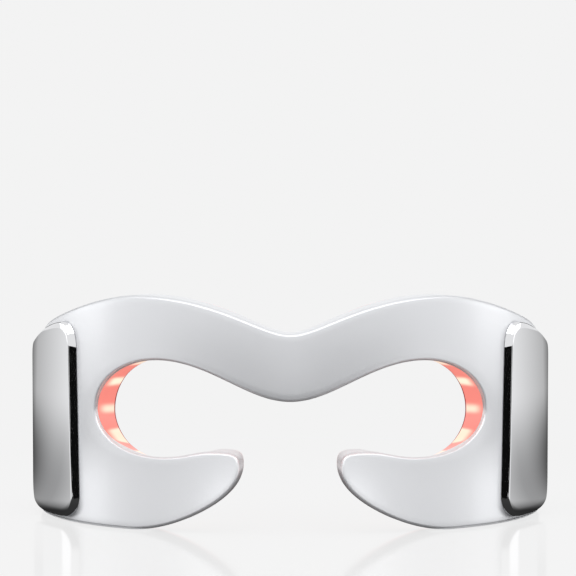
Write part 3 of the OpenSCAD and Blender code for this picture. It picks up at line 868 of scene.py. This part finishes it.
# %% Ears and bosses
BOSS_R, BOSS_END = 2.2, SEAT - 0.3


def plate(name, x, width, height, radius, thick, place, hole=None, sunk=0.2):
    """A flat bar with softened edges, and with a slot through it if hole is (x, width, height, radius)."""
    soft, back = 0.4, DEPTH - sunk
    low = back - thick

    def outline(more, x, width, height, radius):
        return rounded_rectangle(x, 0, width + 2 * more, height + 2 * more, radius)

    bar = (x, width, height, radius)
    rings = [(outline(-soft, *bar), back), (outline(0, *bar), back - soft),
             (outline(0, *bar), low + soft), (outline(-soft, *bar), low)]
    if hole:
        rings += [(outline(soft, *hole), low), (outline(0, *hole), low + soft),
                  (outline(0, *hole), back - soft), (outline(soft, *hole), back)]
    return ring_solid(name, rings, place, bool(hole))


def boss(s, z, radius, low, high):
    rings = [(circle(0, 0, radius), low), (circle(0, 0, radius), high)]
    return ring_solid("boss", rings, on_surface(s, z), False)


# %% The finished backs


def build_temple_back():
    shell = add_piece("temple_back_right_shell", temple_shell())
    place = on_surface(REAR_S, EAR_Z)
    for s, z in SCREW_PLACES:
        cut_or_join(shell, boss(s, z, BOSS_R + 0.6, BOSS_END + FIT, DEPTH - 0.3), "UNION")
        cut_or_join(shell, boss(s, z, SCREW_R + FIT, BOSS_END - 1, DEPTH + 1), "DIFFERENCE")
        cut_or_join(shell, boss(s, z, HEAD_R + FIT, DEPTH - HEAD_T - FIT, DEPTH + 1), "DIFFERENCE")
    slot = (EAR_L / 2 + 0.4, SLOT_W, SLOT_H, 2)
    cut_or_join(shell, plate("ear", EAR_L / 2 + 0.3, EAR_L - 0.6, EAR_H, 3, EAR_T, place, slot), "UNION")
    tongue = plate("tongue", EAR_L / 2 - 3, EAR_L - 0.4, EAR_H - 0.1, 3, 1.5, place, sunk=0.25)
    cut_or_join(shell, tongue, "UNION")
    mesh = shell.data
    bpy.data.objects.remove(shell)
    return mesh


back_mesh = build_temple_back()
back_left_mesh = flipped(back_mesh, "temple_back_left_mesh")
back_right = add_piece("matt_temple_back_right", back_mesh, 40)
back_left = add_piece("matt_temple_back_left", back_left_mesh, 40)
print("temple backs:", volume(back_right), volume(back_left))

# %% [markdown]
# ## Silicone pads
# Soft pads keep the hard lens off the nose and the brow. They are solid moulded rubber, so each is one closed
# form with a rounded edge, and it follows the lens that it is bonded to.

# %% Pads
PAD_STEPS = 14


def pad_mesh(name, line, lift, height, thick):
    a = [p + Vector((0, lift + height)) for p in line]
    b = [p + Vector((0, lift)) for p in line]
    loop = rib_loop(a, b, between(a[0], b[0], PAD_STEPS), between(a[-1], b[-1], PAD_STEPS))
    face = -DEPTH - thick
    rings = [even_ring(loop, 0, -DEPTH - FIT), even_ring(loop, 0, face + 1)]
    rings += [
        even_ring(loop, 1 - cos(pi / 2 * k / 6), face + 1 - sin(pi / 2 * k / 6)) for k in range(1, 7)
    ]
    return shell_mesh(name, rings, len(line), PAD_STEPS)[0]


MIDDLE_RIB = len(half_inner) - 1
nose_line = inner_line[MIDDLE_RIB - 4 * FINE:MIDDLE_RIB + 4 * FINE + 1]
brow_line = half_outer[7 * FINE:12 * FINE + 1]
nose_pad = add_piece("soft_nose_pad", pad_mesh("nose_pad", nose_line, 2, 9, 3.4), 60)
brow_mesh = pad_mesh("brow_pad", brow_line, -8.5, 6, 2.4)
brow_left_mesh = flipped(brow_mesh, "brow_pad_left_mesh")
brow_right = add_piece("soft_brow_pad_right", brow_mesh, 60)
brow_left = add_piece("soft_brow_pad_left", brow_left_mesh, 60)
print("pads:", volume(nose_pad), volume(brow_right))

# %% [markdown]
# ## Openings in the cover
# The underside of one temple holds a charging port, a power button and a status light. Each opening is cut
# with a Boolean by a plain upright cutter, because the rim's wall is flat there.
# Screws reach the cover through the temple backs, so the cover has bosses and the backs matching sleeves.

# %% Places in the temple
INSIDE_S = 94
BOARD_T, FOAM_T = 1.0, 0.75
FLOOR_Y = DEPTH - FLOOR
BOARD_Y = FLOOR_Y - FOAM_T - 0.15 - BOARD_T
BOARD_Z = WALL_INNER + 2.25
PORT_X, PORT_Y, PORT_W, PORT_T = 4.4, BOARD_Y - 1.62, 8.94, 3.2
BUTTON_X, BUTTON_L, BUTTON_W = -6.4, 6.4, 2.6
BUTTON_Y = BOARD_Y - BUTTON_W / 2 - 0.35
LIGHT_X, LIGHT_Y, PIPE_R = -1.75, BOARD_Y - 1, 0.8


def standing(x, y):
    """A frame at a place in the right temple, in which depths count down from the underside."""
    place = Matrix.Translation(Vector((x, y, 0)) * MM)
    return on_surface(INSIDE_S, 0) @ place @ Matrix.Rotation(-pi / 2, 4, "X")


def upright(x, y, high, outline):
    """A solid whose outline lies flat at a place in the temple and which rises from under the mask."""
    return ring_solid("upright", [(outline(0), 1), (outline(0), -high)], standing(x, y), False)


def pill(length, width):
    """An outline with round ends, to be drawn smaller all round by what is asked."""

    def outline(less):
        across = width - 2 * less
        return rounded_rectangle(0, 0, length - 2 * less, across, across / 2 - 0.001, 12)

    return outline


def disc(radius):
    return lambda less: circle(0, 0, radius - less)


# %% Cut the cover
cutters = [
    (BUTTON_X, BUTTON_Y, RIM + 0.5, pill(BUTTON_L + 2 * FIT, BUTTON_W + 2 * FIT)),
    (LIGHT_X, LIGHT_Y, RIM + 1, disc(PIPE_R + 0.05)),
    (PORT_X, PORT_Y, RIM + 3.4, pill(PORT_W + 2 * FIT, PORT_T + 2 * FIT)),
]
for cutter in cutters:
    cut_or_join(cover, upright(*cutter), "DIFFERENCE")
ALL_SCREWS = SCREW_PLACES + [(-s, z) for s, z in SCREW_PLACES]
for s, z in ALL_SCREWS:
    cut_or_join(cover, boss(s, z, BOSS_R, SKIN * 0.7, BOSS_END), "UNION")
    cut_or_join(cover, boss(s, z, SCREW_R + 0.05, BOSS_END - SCREW_L + 1, BOSS_END + 1), "DIFFERENCE")
print("cover after its openings:", volume(cover))

# %% [markdown]
# ## The power button
# The button is a small moulded cap with a flange that keeps it in the cover, and a stem that pushes the
# switch. One outline at different sizes and heights gives all three, softened where the finger lands.

# %% Power button
BUTTON_Z, STEM_R, LEDGE = 0.2, 1.0, 0.25
LEDGE_TOP = WALL_OUTER + 0.8
STEM_TOP = BOARD_Z - 1.2


def build_button():
    cap, stem = pill(BUTTON_L, BUTTON_W), pill(2 * STEM_R, 2 * STEM_R)
    sections = [
        (cap(0.5), BUTTON_Z), (cap(0.2), BUTTON_Z + 0.06), (cap(0.05), BUTTON_Z + 0.2),
        (cap(0), BUTTON_Z + 0.4), (cap(0), WALL_OUTER),
        (cap(-LEDGE), WALL_OUTER), (cap(-LEDGE), LEDGE_TOP), (stem(0), LEDGE_TOP), (stem(0), STEM_TOP),
    ]
    rings = [(outline, -z) for outline, z in sections]
    button = ring_solid("satin_power_button", rings, standing(BUTTON_X, BUTTON_Y), False)
    smooth(button.data)
    return button


button = build_button()
print("power button:", volume(button))

# %% [markdown]
# ## Pearl lacquer
# The cover is sprayed with a pearl lacquer: fine metal flakes in a milky coat, so it is part metal and part
# matt. The photo's soft shading suggests a slight crown, and a tilt of the shading normal stands in for it.
# The tilt changes with height, grows on the hooks, and the rims are steepened.

# %% Pearl lacquer
CROWN_TOP = 0.072
CROWN = [(0.0, 0.9), (0.14, 0.8), (0.30, 0.5), (0.47, 0.22), (0.62, 0.38), (0.80, 0.5), (1.0, 0.75)]
HOOK_FROM, HOOK_FULL, HOOK_TILT = 0.044, 0.016, 0.35
HOOK_TOP, HOOK_LOW = 0.036, 0.028
TILT_LEAST, TILT_MOST, RIM_STEEPNESS = -0.2, 0.3, 2.0


def crown_normal(material):
    """The surface normal, leaning forward at the mask's waist and back towards its upper and lower edges."""
    x, _, z = axes(material)
    lean = add_node(material, "FloatCurve", Value=number(material, "MULTIPLY", z, 1 / CROWN_TOP))
    curve = lean.mapping.curves[0]
    curve.points[0].location, curve.points[1].location = CROWN[0], CROWN[-1]
    for point in CROWN[1:-1]:
        curve.points.new(*point)
    lean.mapping.update()
    size = mapped(material, lean.outputs["Value"], 0.0, 1.0, TILT_LEAST, TILT_MOST)
    beside = number(material, "ABSOLUTE", x)
    hook = mapped(material, beside, HOOK_FROM, HOOK_FULL, 0.0, HOOK_TILT, "SMOOTHSTEP")
    low = mapped(material, z, HOOK_TOP, HOOK_LOW, 0.0, 1.0, "SMOOTHSTEP")
    lift = number(material, "MULTIPLY_ADD", hook, low, size)
    real = add_node(material, "NewGeometry").outputs["Normal"]
    steeper = arrow(material, "MULTIPLY", real, (1.0, 1.0, RIM_STEEPNESS))
    return arrow(material, "NORMALIZE", arrow(material, "ADD", steeper, vector(material, 0.0, 0.0, lift)))


pearl = new_material("pearl_lacquer", (0.80, 0.81, 0.83), Metallic=0.35, Coat_Weight=0.1, Coat_Roughness=0.2)
vary_roughness(pearl, 60, 0.31, 0.36)
surface(pearl, Normal=crown_normal(pearl))
dress(cover, pearl, "mask", "front_cover")

# %% [markdown]
# ## Chrome and the lit lens
# Plating is a plain metal with hardly any roughness: all that it shows is the room, which the cards at the
# end make. The lens glows by itself. Its material reads the stored light and runs from red to warm white with
# it, and it fades at the hooks' tips, which hold no lights. A dark line marks its rear edge.

# %% Chrome
chrome = new_material("plated_chrome", (0.84, 0.845, 0.86), Metallic=1.0, Roughness=0.04)
dress(side_left, chrome, "mask", "side_cover_left")
dress(side_right, chrome, "mask", "side_cover_right")

# %% Lit lens
glowing = new_material("lit_lens", (0.75, 0.66, 0.66), Roughness=0.3)
warm = ramp(glowing, stored(glowing, "glow"), (0.0, (0.84, 0.26, 0.215)), (0.7, (1.0, 0.93, 0.72)))
lit = stored(glowing, "lit")
surface(
    glowing,
    Base_Color=mixed(glowing, lit, (0.93, 0.90, 0.90), (0.22, 0.03, 0.03)),
    Emission_Color=mixed(glowing, stored(glowing, "edge_line"), warm, (0.16, 0.012, 0.012)),
    Emission_Strength=lit,
)
dress(lens, glowing, "mask", "rear_lens")

# %% [markdown]
# ## Matt shells and silicone
# The parts that touch the head aren't polished. The temple backs are moulded in a finely eroded tool, and
# silicone has the softer skin of its mould. Both are dull and have a grain that only just shows.

# %% Matt shells and silicone
matt = new_material("matt_moulding", (0.70, 0.70, 0.72), Roughness=0.5)
add_bump(matt, 1800, 0.03)
dress(back_left, matt, "mask", "temple_back_left")
dress(back_right, matt, "mask", "temple_back_right")
rubber = new_material("soft_silicone", (0.83, 0.76, 0.75), Roughness=0.55)
add_bump(rubber, 900, 0.03)
dress(nose_pad, rubber, "mask", "nose_pad")
dress(brow_left, rubber, "mask", "brow_pad_left")
dress(brow_right, rubber, "mask", "brow_pad_right")

# %% [markdown]
# ## Small parts that repeat
# The light board carries rows of the same few parts, and four equal screws hold the temples. Each kind is
# drawn once in Geometry Nodes and placed on points that carry their turn, so one change of size changes all.

# %% Forms in Geometry Nodes


def moved(tree, geometry, offset, turn=(0.0, 0.0, 0.0)):
    node = add_node(tree, "GeometryNodeTransform", Geometry=geometry, Translation=offset, Rotation=turn)
    return node.outputs[0]


def brick(tree, width, thick, height, depth):
    """A block whose middle lies at a depth behind the surface."""
    cube = add_node(tree, "GeometryNodeMeshCube", Size=vector(tree, width, thick, height)).outputs[0]
    return moved(tree, cube, vector(tree, 0.0, depth, 0.0))


def rod(tree, radius, length, depth, sides=24):
    """A round bar whose axis runs inward, with its middle at a depth."""
    bar = add_node(tree, "GeometryNodeMeshCylinder", Vertices=sides, Radius=radius, Depth=length).outputs[0]
    return moved(tree, bar, vector(tree, 0.0, depth, 0.0), (pi / 2, 0.0, 0.0))


def marked(tree, geometry, name):
    """Stores an attribute of 1 on a part, for the finish to read."""
    return add_node(
        tree, "GeometryNodeStoreNamedAttribute", data_type="FLOAT", domain="POINT",
        Geometry=geometry, Name=name, Value=1.0,
    ).outputs[0]


def together(tree, *parts):
    node = add_node(tree, "GeometryNodeJoinGeometry")
    for part in parts:
        feed(tree, node.inputs["Geometry"], part)
    return node.outputs[0]


def carved(tree, body, *tools):
    node = add_node(tree, "GeometryNodeMeshBoolean", operation="DIFFERENCE", solver="EXACT", Mesh_1=body)
    for tool in tools:
        feed(tree, node.inputs["Mesh 2"], tool)
    return node.outputs[0]


# %% A tree and its copies


def new_tree(name, sizes):
    """A tree with an input for each size, and the sockets that its part is drawn from."""
    tree = bpy.data.node_groups.new(name, "GeometryNodeTree")
    tree.interface.new_socket("Places", in_out="INPUT", socket_type="NodeSocketGeometry")
    for key, value in sizes.items():
        socket = tree.interface.new_socket(key, in_out="INPUT", socket_type="NodeSocketFloat")
        socket.default_value = value * MM
    tree.interface.new_socket("Finish", in_out="INPUT", socket_type="NodeSocketMaterial")
    tree.interface.new_socket("Mesh", in_out="OUTPUT", socket_type="NodeSocketGeometry")
    source = tree.nodes.new("NodeGroupInput").outputs
    return tree, source, [source[key] for key in sizes]


def place_parts(tree, source, part):
    """One copy at every point, turned about the vertical by the point's own turn."""
    turn = add_node(tree, "GeometryNodeInputNamedAttribute", data_type="FLOAT", Name="turn").outputs[0]
    spin = add_node(tree, "FunctionNodeEulerToRotation", Euler=vector(tree, 0.0, 0.0, turn)).outputs[0]
    placed = add_node(
        tree, "GeometryNodeInstanceOnPoints", Points=source["Places"], Instance=part, Rotation=spin
    ).outputs[0]
    solid = add_node(tree, "GeometryNodeRealizeInstances", Geometry=placed).outputs[0]
    finished = add_node(tree, "GeometryNodeSetMaterial", Geometry=solid, Material=source["Finish"]).outputs[0]
    feed(tree, tree.nodes.new("NodeGroupOutput").inputs["Mesh"], finished)
    return tree


# %% Set parts out on the surface


def set_out(name, tree, places, finish, sizes):
    """Runs a tree over (s, z) places on the surface and keeps the result as a plain mesh."""
    points = bpy.data.meshes.new(name)
    points.from_pydata([wrap(s, z, 0) for s, z in places], [], [])
    turns = points.attributes.new("turn", "FLOAT", "POINT")
    turns.data.foreach_set("value", [(1 if s >= 0 else -1) * heading(s) for s, z in places])
    obj = put(name, points)
    modifier = obj.modifiers.new("parts", "NODES")
    modifier.node_group = tree
    for item in tree.interface.items_tree:
        if item.name in sizes:
            modifier[item.identifier] = sizes[item.name] * MM
        elif item.name == "Finish":
            modifier[item.identifier] = finish
    mesh = as_mesh(obj)
    smooth(mesh)
    print(name, len(places), "places,", len(mesh.polygons), "faces")
    return obj


def both_sides(places):
    return [(p.x, p.y) for p in places] + [(-p.x, p.y) for p in places]


# %% [markdown]
# ## The lights
# Each light is a white moulded package with a round well, and a coloured window at the bottom of the well.
# Four kinds alternate along the rows. The window carries an attribute, so one finish colours both.

# %% Lights
LIGHT_SIZES = {"Width": LED_W, "Height": LED_H, "Thickness": LED_T, "Depth": LED_Y}
PACKAGE = (0.9, 0.89, 0.86)


def light_tree():
    tree, source, (width, height, thick, depth) = new_tree("surface_mount_light", LIGHT_SIZES)
    face = number(tree, "ADD", depth, thick)
    body = brick(tree, width, thick, height, number(tree, "MULTIPLY_ADD", thick, 0.5, depth))
    radius = number(tree, "MULTIPLY", width, 0.38)
    well = rod(tree, radius, 0.5 * MM, face)
    low = number(tree, "SUBTRACT", face, 0.22 * MM)
    window = rod(tree, number(tree, "MULTIPLY", radius, 0.97), 0.16 * MM, low)
    part = together(tree, carved(tree, body, well), marked(tree, window, "window"))
    return place_parts(tree, source, part)


def light_finish(name, color, glow):
    material = new_material(name, PACKAGE, Roughness=0.4, Emission_Color=color)
    window = stored(material, "window")
    surface(material, Base_Color=mixed(material, window, PACKAGE, color),
            Emission_Strength=number(material, "MULTIPLY", window, glow))
    vary_roughness(material, 900, 0.3, 0.45)
    return material


LIGHT_KINDS = [
    ("amber", (1.0, 0.62, 0.2), 1.5), ("red", (1.0, 0.16, 0.1), 1.5),
    ("deep_red", (0.8, 0.05, 0.06), 1.2), ("infrared", (0.9, 0.85, 0.7), 0.1),
]
lights = light_tree()
for kind, (color_name, color, glow) in enumerate(LIGHT_KINDS):
    places = both_sides(light_places[kind::KINDS])
    light = light_finish(color_name + "_light", color, glow)
    piece = set_out(color_name + "_lights", lights, places, light, LIGHT_SIZES)
    dress(piece, light, "mask", "leds_" + color_name)

# %% [markdown]
# ## Resistors and screws
# A chip resistor is a dark ceramic bar with a plated cap at each end. A pan-head screw has a crowned head
# with a cross recess, and it is driven from the face side, so its head lies deepest.

# %% Resistors
CHIP_SIZES = {"Width": 1.25, "Height": 2.0, "Thickness": 0.5, "Depth": LED_Y}
CERAMIC = (0.04, 0.04, 0.045)


def resistor_tree():
    tree, source, (width, height, thick, depth) = new_tree("chip_resistor", CHIP_SIZES)
    middle = number(tree, "MULTIPLY_ADD", thick, 0.5, depth)
    slim, thin, short, cap_height, out = (
        number(tree, "MULTIPLY", size, share)
        for size, share in ((width, 0.94), (thick, 0.9), (height, 0.9), (height, 0.22), (height, 0.39))
    )
    cap = brick(tree, width, thick, cap_height, middle)
    caps = [marked(tree, moved(tree, cap, vector(tree, 0.0, 0.0, z)), "plated")
            for z in (out, number(tree, "MULTIPLY", out, -1.0))]
    return place_parts(tree, source, together(tree, brick(tree, slim, thin, short, middle), *caps))


ceramic = new_material("resistor_ceramic", CERAMIC, Roughness=0.4)
plated = stored(ceramic, "plated")
surface(ceramic, Base_Color=mixed(ceramic, plated, CERAMIC, (0.75, 0.74, 0.72)), Metallic=plated)
vary_roughness(ceramic, 1500, 0.3, 0.5)
resistors = set_out("chip_resistors", resistor_tree(), both_sides(resistor_places), ceramic, CHIP_SIZES)
dress(resistors, ceramic, "mask", "light_resistors")

# %% Screws
SCREW_SIZES = {
    "Shank radius": SCREW_R, "Length": SCREW_L, "Head radius": HEAD_R, "Head": HEAD_T,
    "Head from": DEPTH - HEAD_T - FIT,
}


def screw_tree():
    tree, source, (radius, length, head_r, head, start) = new_tree("pan_head_screw", SCREW_SIZES)
    half = number(tree, "MULTIPLY", head, 0.5)
    shank = rod(tree, radius, number(tree, "ADD", length, 0.2 * MM),
                number(tree, "MULTIPLY_ADD", length, -0.5, start))
    rim = rod(tree, head_r, half, number(tree, "MULTIPLY_ADD", head, 0.25, start), 48)
    crown = add_node(
        tree, "GeometryNodeMeshCone", Vertices=48, Radius_Top=number(tree, "MULTIPLY", head_r, 0.72),
        Radius_Bottom=head_r, Depth=half,
    ).outputs[0]
    level = number(tree, "MULTIPLY_ADD", head, 0.5, start)
    crown = moved(tree, crown, vector(tree, 0.0, level, 0.0), (-pi / 2, 0.0, 0.0))
    face = number(tree, "ADD", start, head)
    arms = [brick(tree, w * MM, MM, h * MM, face) for w, h in ((2.2, 0.5), (0.5, 2.2))]
    heads = [carved(tree, part, *arms) for part in (rim, crown)]
    return place_parts(tree, source, together(tree, shank, *heads))


steel = new_material("screw_steel", (0.42, 0.42, 0.44), Metallic=1.0, Roughness=0.35)
vary_roughness(steel, 700, 0.22, 0.45)
screws = set_out("temple_screws_steel", screw_tree(), ALL_SCREWS, steel, SCREW_SIZES)
dress(screws, steel, "mask", "temple_screws")

# %% [markdown]
# ## The button's finish
# The button is satin and a tone darker than the cover, so that it stands out from its opening.

# %% The button's finish
satin = new_material("satin_button", (0.62, 0.63, 0.66), Metallic=0.3)
vary_roughness(satin, 300, 0.3, 0.4)
dress(button, satin, "button", "power_button")

# %% [markdown]
# ## Finishes for the parts inside
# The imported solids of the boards, the cell and the port have the right shapes already, so they stay and only
# get their finishes. Each finish shows the one thing that tells its material: creases in foil, pores in foam,
# tracks under solder mask, fine grit in moulded epoxy, and drawing marks along stamped steel.

# %% Film, foil and foam


def finish_nodes(material, *names):
    for name in names:
        paint(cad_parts[name], material)
    print(material.name, "on", ", ".join(names))


def drawn_marks(material, scale, along):
    """Noise that is drawn out along one axis, as the marks of drawing or brushing are."""
    squeeze = add_node(material, "Mapping", Scale=along, Vector=here(material)).outputs["Vector"]
    return add_node(material, "TexNoise", Scale=scale, Detail=3.0, Vector=squeeze).outputs["Fac"]


film = new_material("white_film", (0.86, 0.86, 0.82), Roughness=0.35)
add_bump(film, 900, 0.01)
finish_nodes(film, "light_board")

tail = new_material("bare_polyimide", (0.62, 0.30, 0.08), Roughness=0.3)
vary_color(tail, 400, (0.50, 0.22, 0.05), (0.68, 0.36, 0.11))
finish_nodes(tail, "flex_tail_left", "flex_tail_right")

foil = new_material("foil_pouch", (0.66, 0.69, 0.74), Metallic=0.85, Roughness=0.3)
add_bump(foil, 160, 0.12, 4.0)
finish_nodes(foil, "battery_cell")

foam = new_material("closed_cell_foam", (0.06, 0.06, 0.065), Roughness=0.9)
pores = add_node(foam, "TexVoronoi", Scale=2600.0, Vector=here(foam)).outputs["Distance"]
bump_from(foam, pores, 0.15)
finish_nodes(foam, "battery_foam")

# %% Boards and chips


def board_finish():
    """Green solder mask over paler copper tracks, drawn by a brick pattern in the board's own plane."""
    board = new_material("solder_mask", (0.02, 0.16, 0.07), Roughness=0.3)
    _, y, z = axes(board)
    tracks = add_node(
        board, "TexBrick", Scale=160.0, Mortar_Size=0.03, Vector=vector(board, y, z, 0.0),
        Color1=(0.02, 0.15, 0.07), Color2=(0.025, 0.18, 0.08), Mortar=(0.06, 0.33, 0.16),
    ).outputs
    surface(board, Base_Color=tracks["Color"])
    bump_from(board, tracks["Fac"], 0.02)
    return board


finish_nodes(board_finish(), "battery_protection_board", "control_board")

epoxy = new_material("chip_epoxy", (0.025, 0.025, 0.03), Roughness=0.55)
add_bump(epoxy, 3000, 0.02)
finish_nodes(epoxy, "control_chip", "led_driver_chip", "switch_plunger")

ferrite = new_material("ground_ferrite", (0.09, 0.09, 0.10), Metallic=0.3, Roughness=0.5)
vary_color(ferrite, 1200, (0.06, 0.06, 0.065), (0.13, 0.13, 0.14))
finish_nodes(ferrite, "driver_inductor")

# %% Nylon, metals and the clear pin
nylon = new_material("natural_nylon", (0.85, 0.82, 0.72), Roughness=0.45)
add_bump(nylon, 1500, 0.015)
finish_nodes(nylon, "flex_connector", "status_led")

nickel = new_material("nickel_strip", (0.66, 0.64, 0.60), Metallic=1.0, Roughness=0.35)
bump_from(nickel, drawn_marks(nickel, 2500, (1.0, 0.08, 1.0)), 0.01)
finish_nodes(nickel, "battery_tabs")

port_steel = new_material("stamped_steel", (0.66, 0.66, 0.68), Metallic=1.0, Roughness=0.28)
bump_from(port_steel, drawn_marks(port_steel, 1800, (1.0, 1.0, 0.06)), 0.012)
finish_nodes(port_steel, "usb_c_port", "tact_switch")

acrylic = new_material("clear_acrylic", (0.93, 0.95, 0.97), Roughness=0.12, Transmission_Weight=0.6, IOR=1.49)
vary_roughness(acrylic, 500, 0.08, 0.18)
finish_nodes(acrylic, "status_light_pipe")

# %% [markdown]
# ## Floor and backdrop
# The studio is one pale grey all over, so the floor and the world show the same plain grey. Near the mask the
# floor takes a faint shadow and a weak mirror image, and both fade out before a horizon could show. Matt
# light meets a floor with painted shade near the mask, darker there, so that the undersides aren't lit from
# below.

# %% Flat pieces of the stage
PALE = (0.896, 0.896, 0.896)
LOWEST = cad_box[0][2]


def seen_plain(material, seen, real):
    """Camera, mirror and glass rays see one shader, and all other light meets the real one."""
    path = add_node(material, "LightPath").outputs
    polished = number(material, "MAXIMUM", path["Is Camera Ray"], path["Is Glossy Ray"])
    return layered(material, number(material, "MAXIMUM", polished, path["Is Transmission Ray"]), real, seen)


def flat_piece(name, corners, material, height=0.0):
    """A flat piece of the stage at a height above the mask's lowest point."""
    mesh = bpy.data.meshes.new(name)
    mesh.from_pydata([(x, y, 0) for x, y in corners], [], [tuple(range(len(corners)))])
    piece = put(name, mesh)
    piece.location.z = LOWEST + height
    paint(piece, material)
    return piece


def square(x, y):
    return [(-x, -y), (x, -y), (x, y), (-x, y)]


# %% Sweep
SWEEP_HALF = 6.0


def build_sweep():
    material = new_material("sweep", PALE)
    away = arrow(material, "LENGTH", here(material))

    def near_share(full, gone, most):
        """A share that is most within one radius of the mask and fades to nothing at another."""
        return mapped(material, away, full, gone, most, 0.0, "SMOOTHSTEP")

    plain = add_node(material, "Emission", Color=PALE, Strength=1.0).outputs[0]
    shown_matt = add_node(material, "BsdfDiffuse", Color=(0.98, 0.98, 0.98)).outputs[0]
    shadowed = layered(material, near_share(0.08, 0.22, 0.06), plain, shown_matt)
    mirror = add_node(material, "BsdfGlossy", Color=(1, 1, 1), Roughness=0.1).outputs[0]
    polished = layered(material, near_share(0.10, 0.17, 0.13), shadowed, mirror)
    # painted shade: the floor that matt light meets is darker near the mask
    tone = mapped(material, away, 0.08, 0.12, 0.3, 0.6, "SMOOTHSTEP")
    matt = add_node(material, "BsdfDiffuse", Color=tone).outputs[0]
    own_shader(material, seen_plain(material, polished, matt))
    return flat_piece("sweep", square(SWEEP_HALF, SWEEP_HALF), material)


print("floor at", build_sweep().location.z)

# %% World


def build_world():
    world = bpy.data.worlds.new("studio")
    scene.world = world
    world.use_nodes = True
    met = add_node(world, "LightPath").outputs["Is Diffuse Ray"]
    background = world.node_tree.nodes["Background"]
    feed(world, background.inputs["Color"], mixed(world, met, PALE, (0.62, 0.62, 0.63)))
    print("world:", world.name)


build_world()

# %% [markdown]
# ## Cards that only reflections see
# Polished pieces show whatever stands round them. A photographer hangs black and grey cards outside the
# picture, and so does this stage. They are hidden from the camera and from matt light. A sheet just above
# the floor, hidden the same way, carries painted shade near and under the mask.

# %% Card helpers
MIDDLE = (0, 0, 0.035)


def facing(place, aim, axis):
    """The turn that points an object's own axis from a place at an aim."""
    return (Vector(aim) - Vector(place)).to_track_quat(axis, "Y").to_euler()


def only_reflected(card):
    """Hides a card from the camera and from matt light."""
    for kind in ("camera", "diffuse", "shadow", "transmission"):
        setattr(card, "visible_" + kind, False)
    print(card.name)


def one_sided(material, shader):
    """Shows a card from its front only, so that the floor under it does not mirror its back."""
    behind = add_node(material, "NewGeometry").outputs["Backfacing"]
    clear = add_node(material, "BsdfTransparent").outputs[0]
    own_shader(material, layered(material, behind, shader, clear))


def shining(material, strength):
    return add_node(material, "Emission", Strength=strength).outputs[0]


# %% Floor card


def add_floor_card():
    """A sheet just above the floor for mirrors alone. Its painted shade is dark near the mask and behind it,
    and it is pale further out.
    """
    card = new_material("floor_card", PALE)
    place = here(card)
    _, y, _ = axes(card)
    away = arrow(card, "LENGTH", place)
    behind = number(card, "DIVIDE", y, away)
    # painted shade: darker near the mask, and more steeply so behind it
    side = number(card, "MULTIPLY", mapped(card, behind, 0.0, 1.0, 1.0, 0.38),
                  mapped(card, behind, 0.78, 0.95, 1.0, 0.45))
    further = mapped(card, away, 0.14, 0.48, 0.42, 1.0, "SMOOTHSTEP")
    steeper = number(card, "POWER", mapped(card, behind, 0.3, 0.86, 0.0, 1.0), 2.0)
    power = number(card, "MULTIPLY_ADD", steeper, 1.8, mapped(card, behind, -0.3, 0.2, 0.15, 1.0))
    oval = arrow(card, "LENGTH", arrow(card, "MULTIPLY", place, (1.0, 1.6, 1.0)))
    # painted contact shadow: nearly black in an oval under the mask
    painted_contact_shadow = mapped(card, oval, 0.085, 0.115, 0.05, 1.0, "SMOOTHSTEP")
    tone = number(card, "MULTIPLY", side, number(card, "POWER", further, power))
    one_sided(card, shining(card, number(card, "MULTIPLY", tone, painted_contact_shadow)))
    only_reflected(flat_piece("floor_card", square(1.2, 1.2), card, 0.0006))


add_floor_card()

# %% Black wedges and grey back cards
WEDGE_NEAR, WEDGE_FAR = 0.01, 4.0
WEDGE_ANGLES = (14, 50)


def add_wedge(side, material):
    """A wedge that opens towards the front from beside a side cover, seen as the black line in its chrome."""
    start = Vector((side * 0.068, -0.02))

    def corner(angle, reach):
        return tuple(start + Vector((-side * sin(radians(angle)), -cos(radians(angle)))) * reach)

    near, far = ([corner(angle, reach) for angle in WEDGE_ANGLES] for reach in (WEDGE_NEAR, WEDGE_FAR))
    corners = near + far[::-1]
    if side < 0:
        corners.reverse()
    only_reflected(flat_piece("black_wedge", corners, material, 0.0012 + 0.0002 * side))


def add_back_card(side, material):
    card = flat_piece("back_card", square(0.225, 0.35), material)
    card.location = (side * 0.5, 0.75, 0.5)
    card.rotation_euler = facing(card.location, MIDDLE, "Z")
    only_reflected(card)


black = new_material("black_card", PALE)
one_sided(black, shining(black, 0.004))
grey = new_material("grey_card", PALE)
own_shader(grey, shining(grey, 0.05))
for side in (-1, 1):
    add_wedge(side, black)
for side in (-1, 1):
    add_back_card(side, grey)

# %% [markdown]
# ## Lamps
# Three large soft lamps light the mask evenly: a strong one above and in front, and a weak one on each side.

# %% Lamps
LAMPS = [
    ("top_softbox", (0, -0.25, 0.7), (1.0, 0.6), 3.4),
    ("left_softbox", (-0.75, 0.0, 0.22), (0.5, 0.4), 0.6),
    ("right_softbox", (0.75, 0.0, 0.22), (0.5, 0.4), 0.6),
]
for name, place, size, watts in LAMPS:
    data = bpy.data.lights.new(name, "AREA")
    data.shape = "RECTANGLE"
    data.size, data.size_y = size
    data.energy = watts
    lamp = put(name, data)
    lamp.location = place
    lamp.rotation_euler = facing(place, MIDDLE, "-Z")
    print(name, watts, "W")
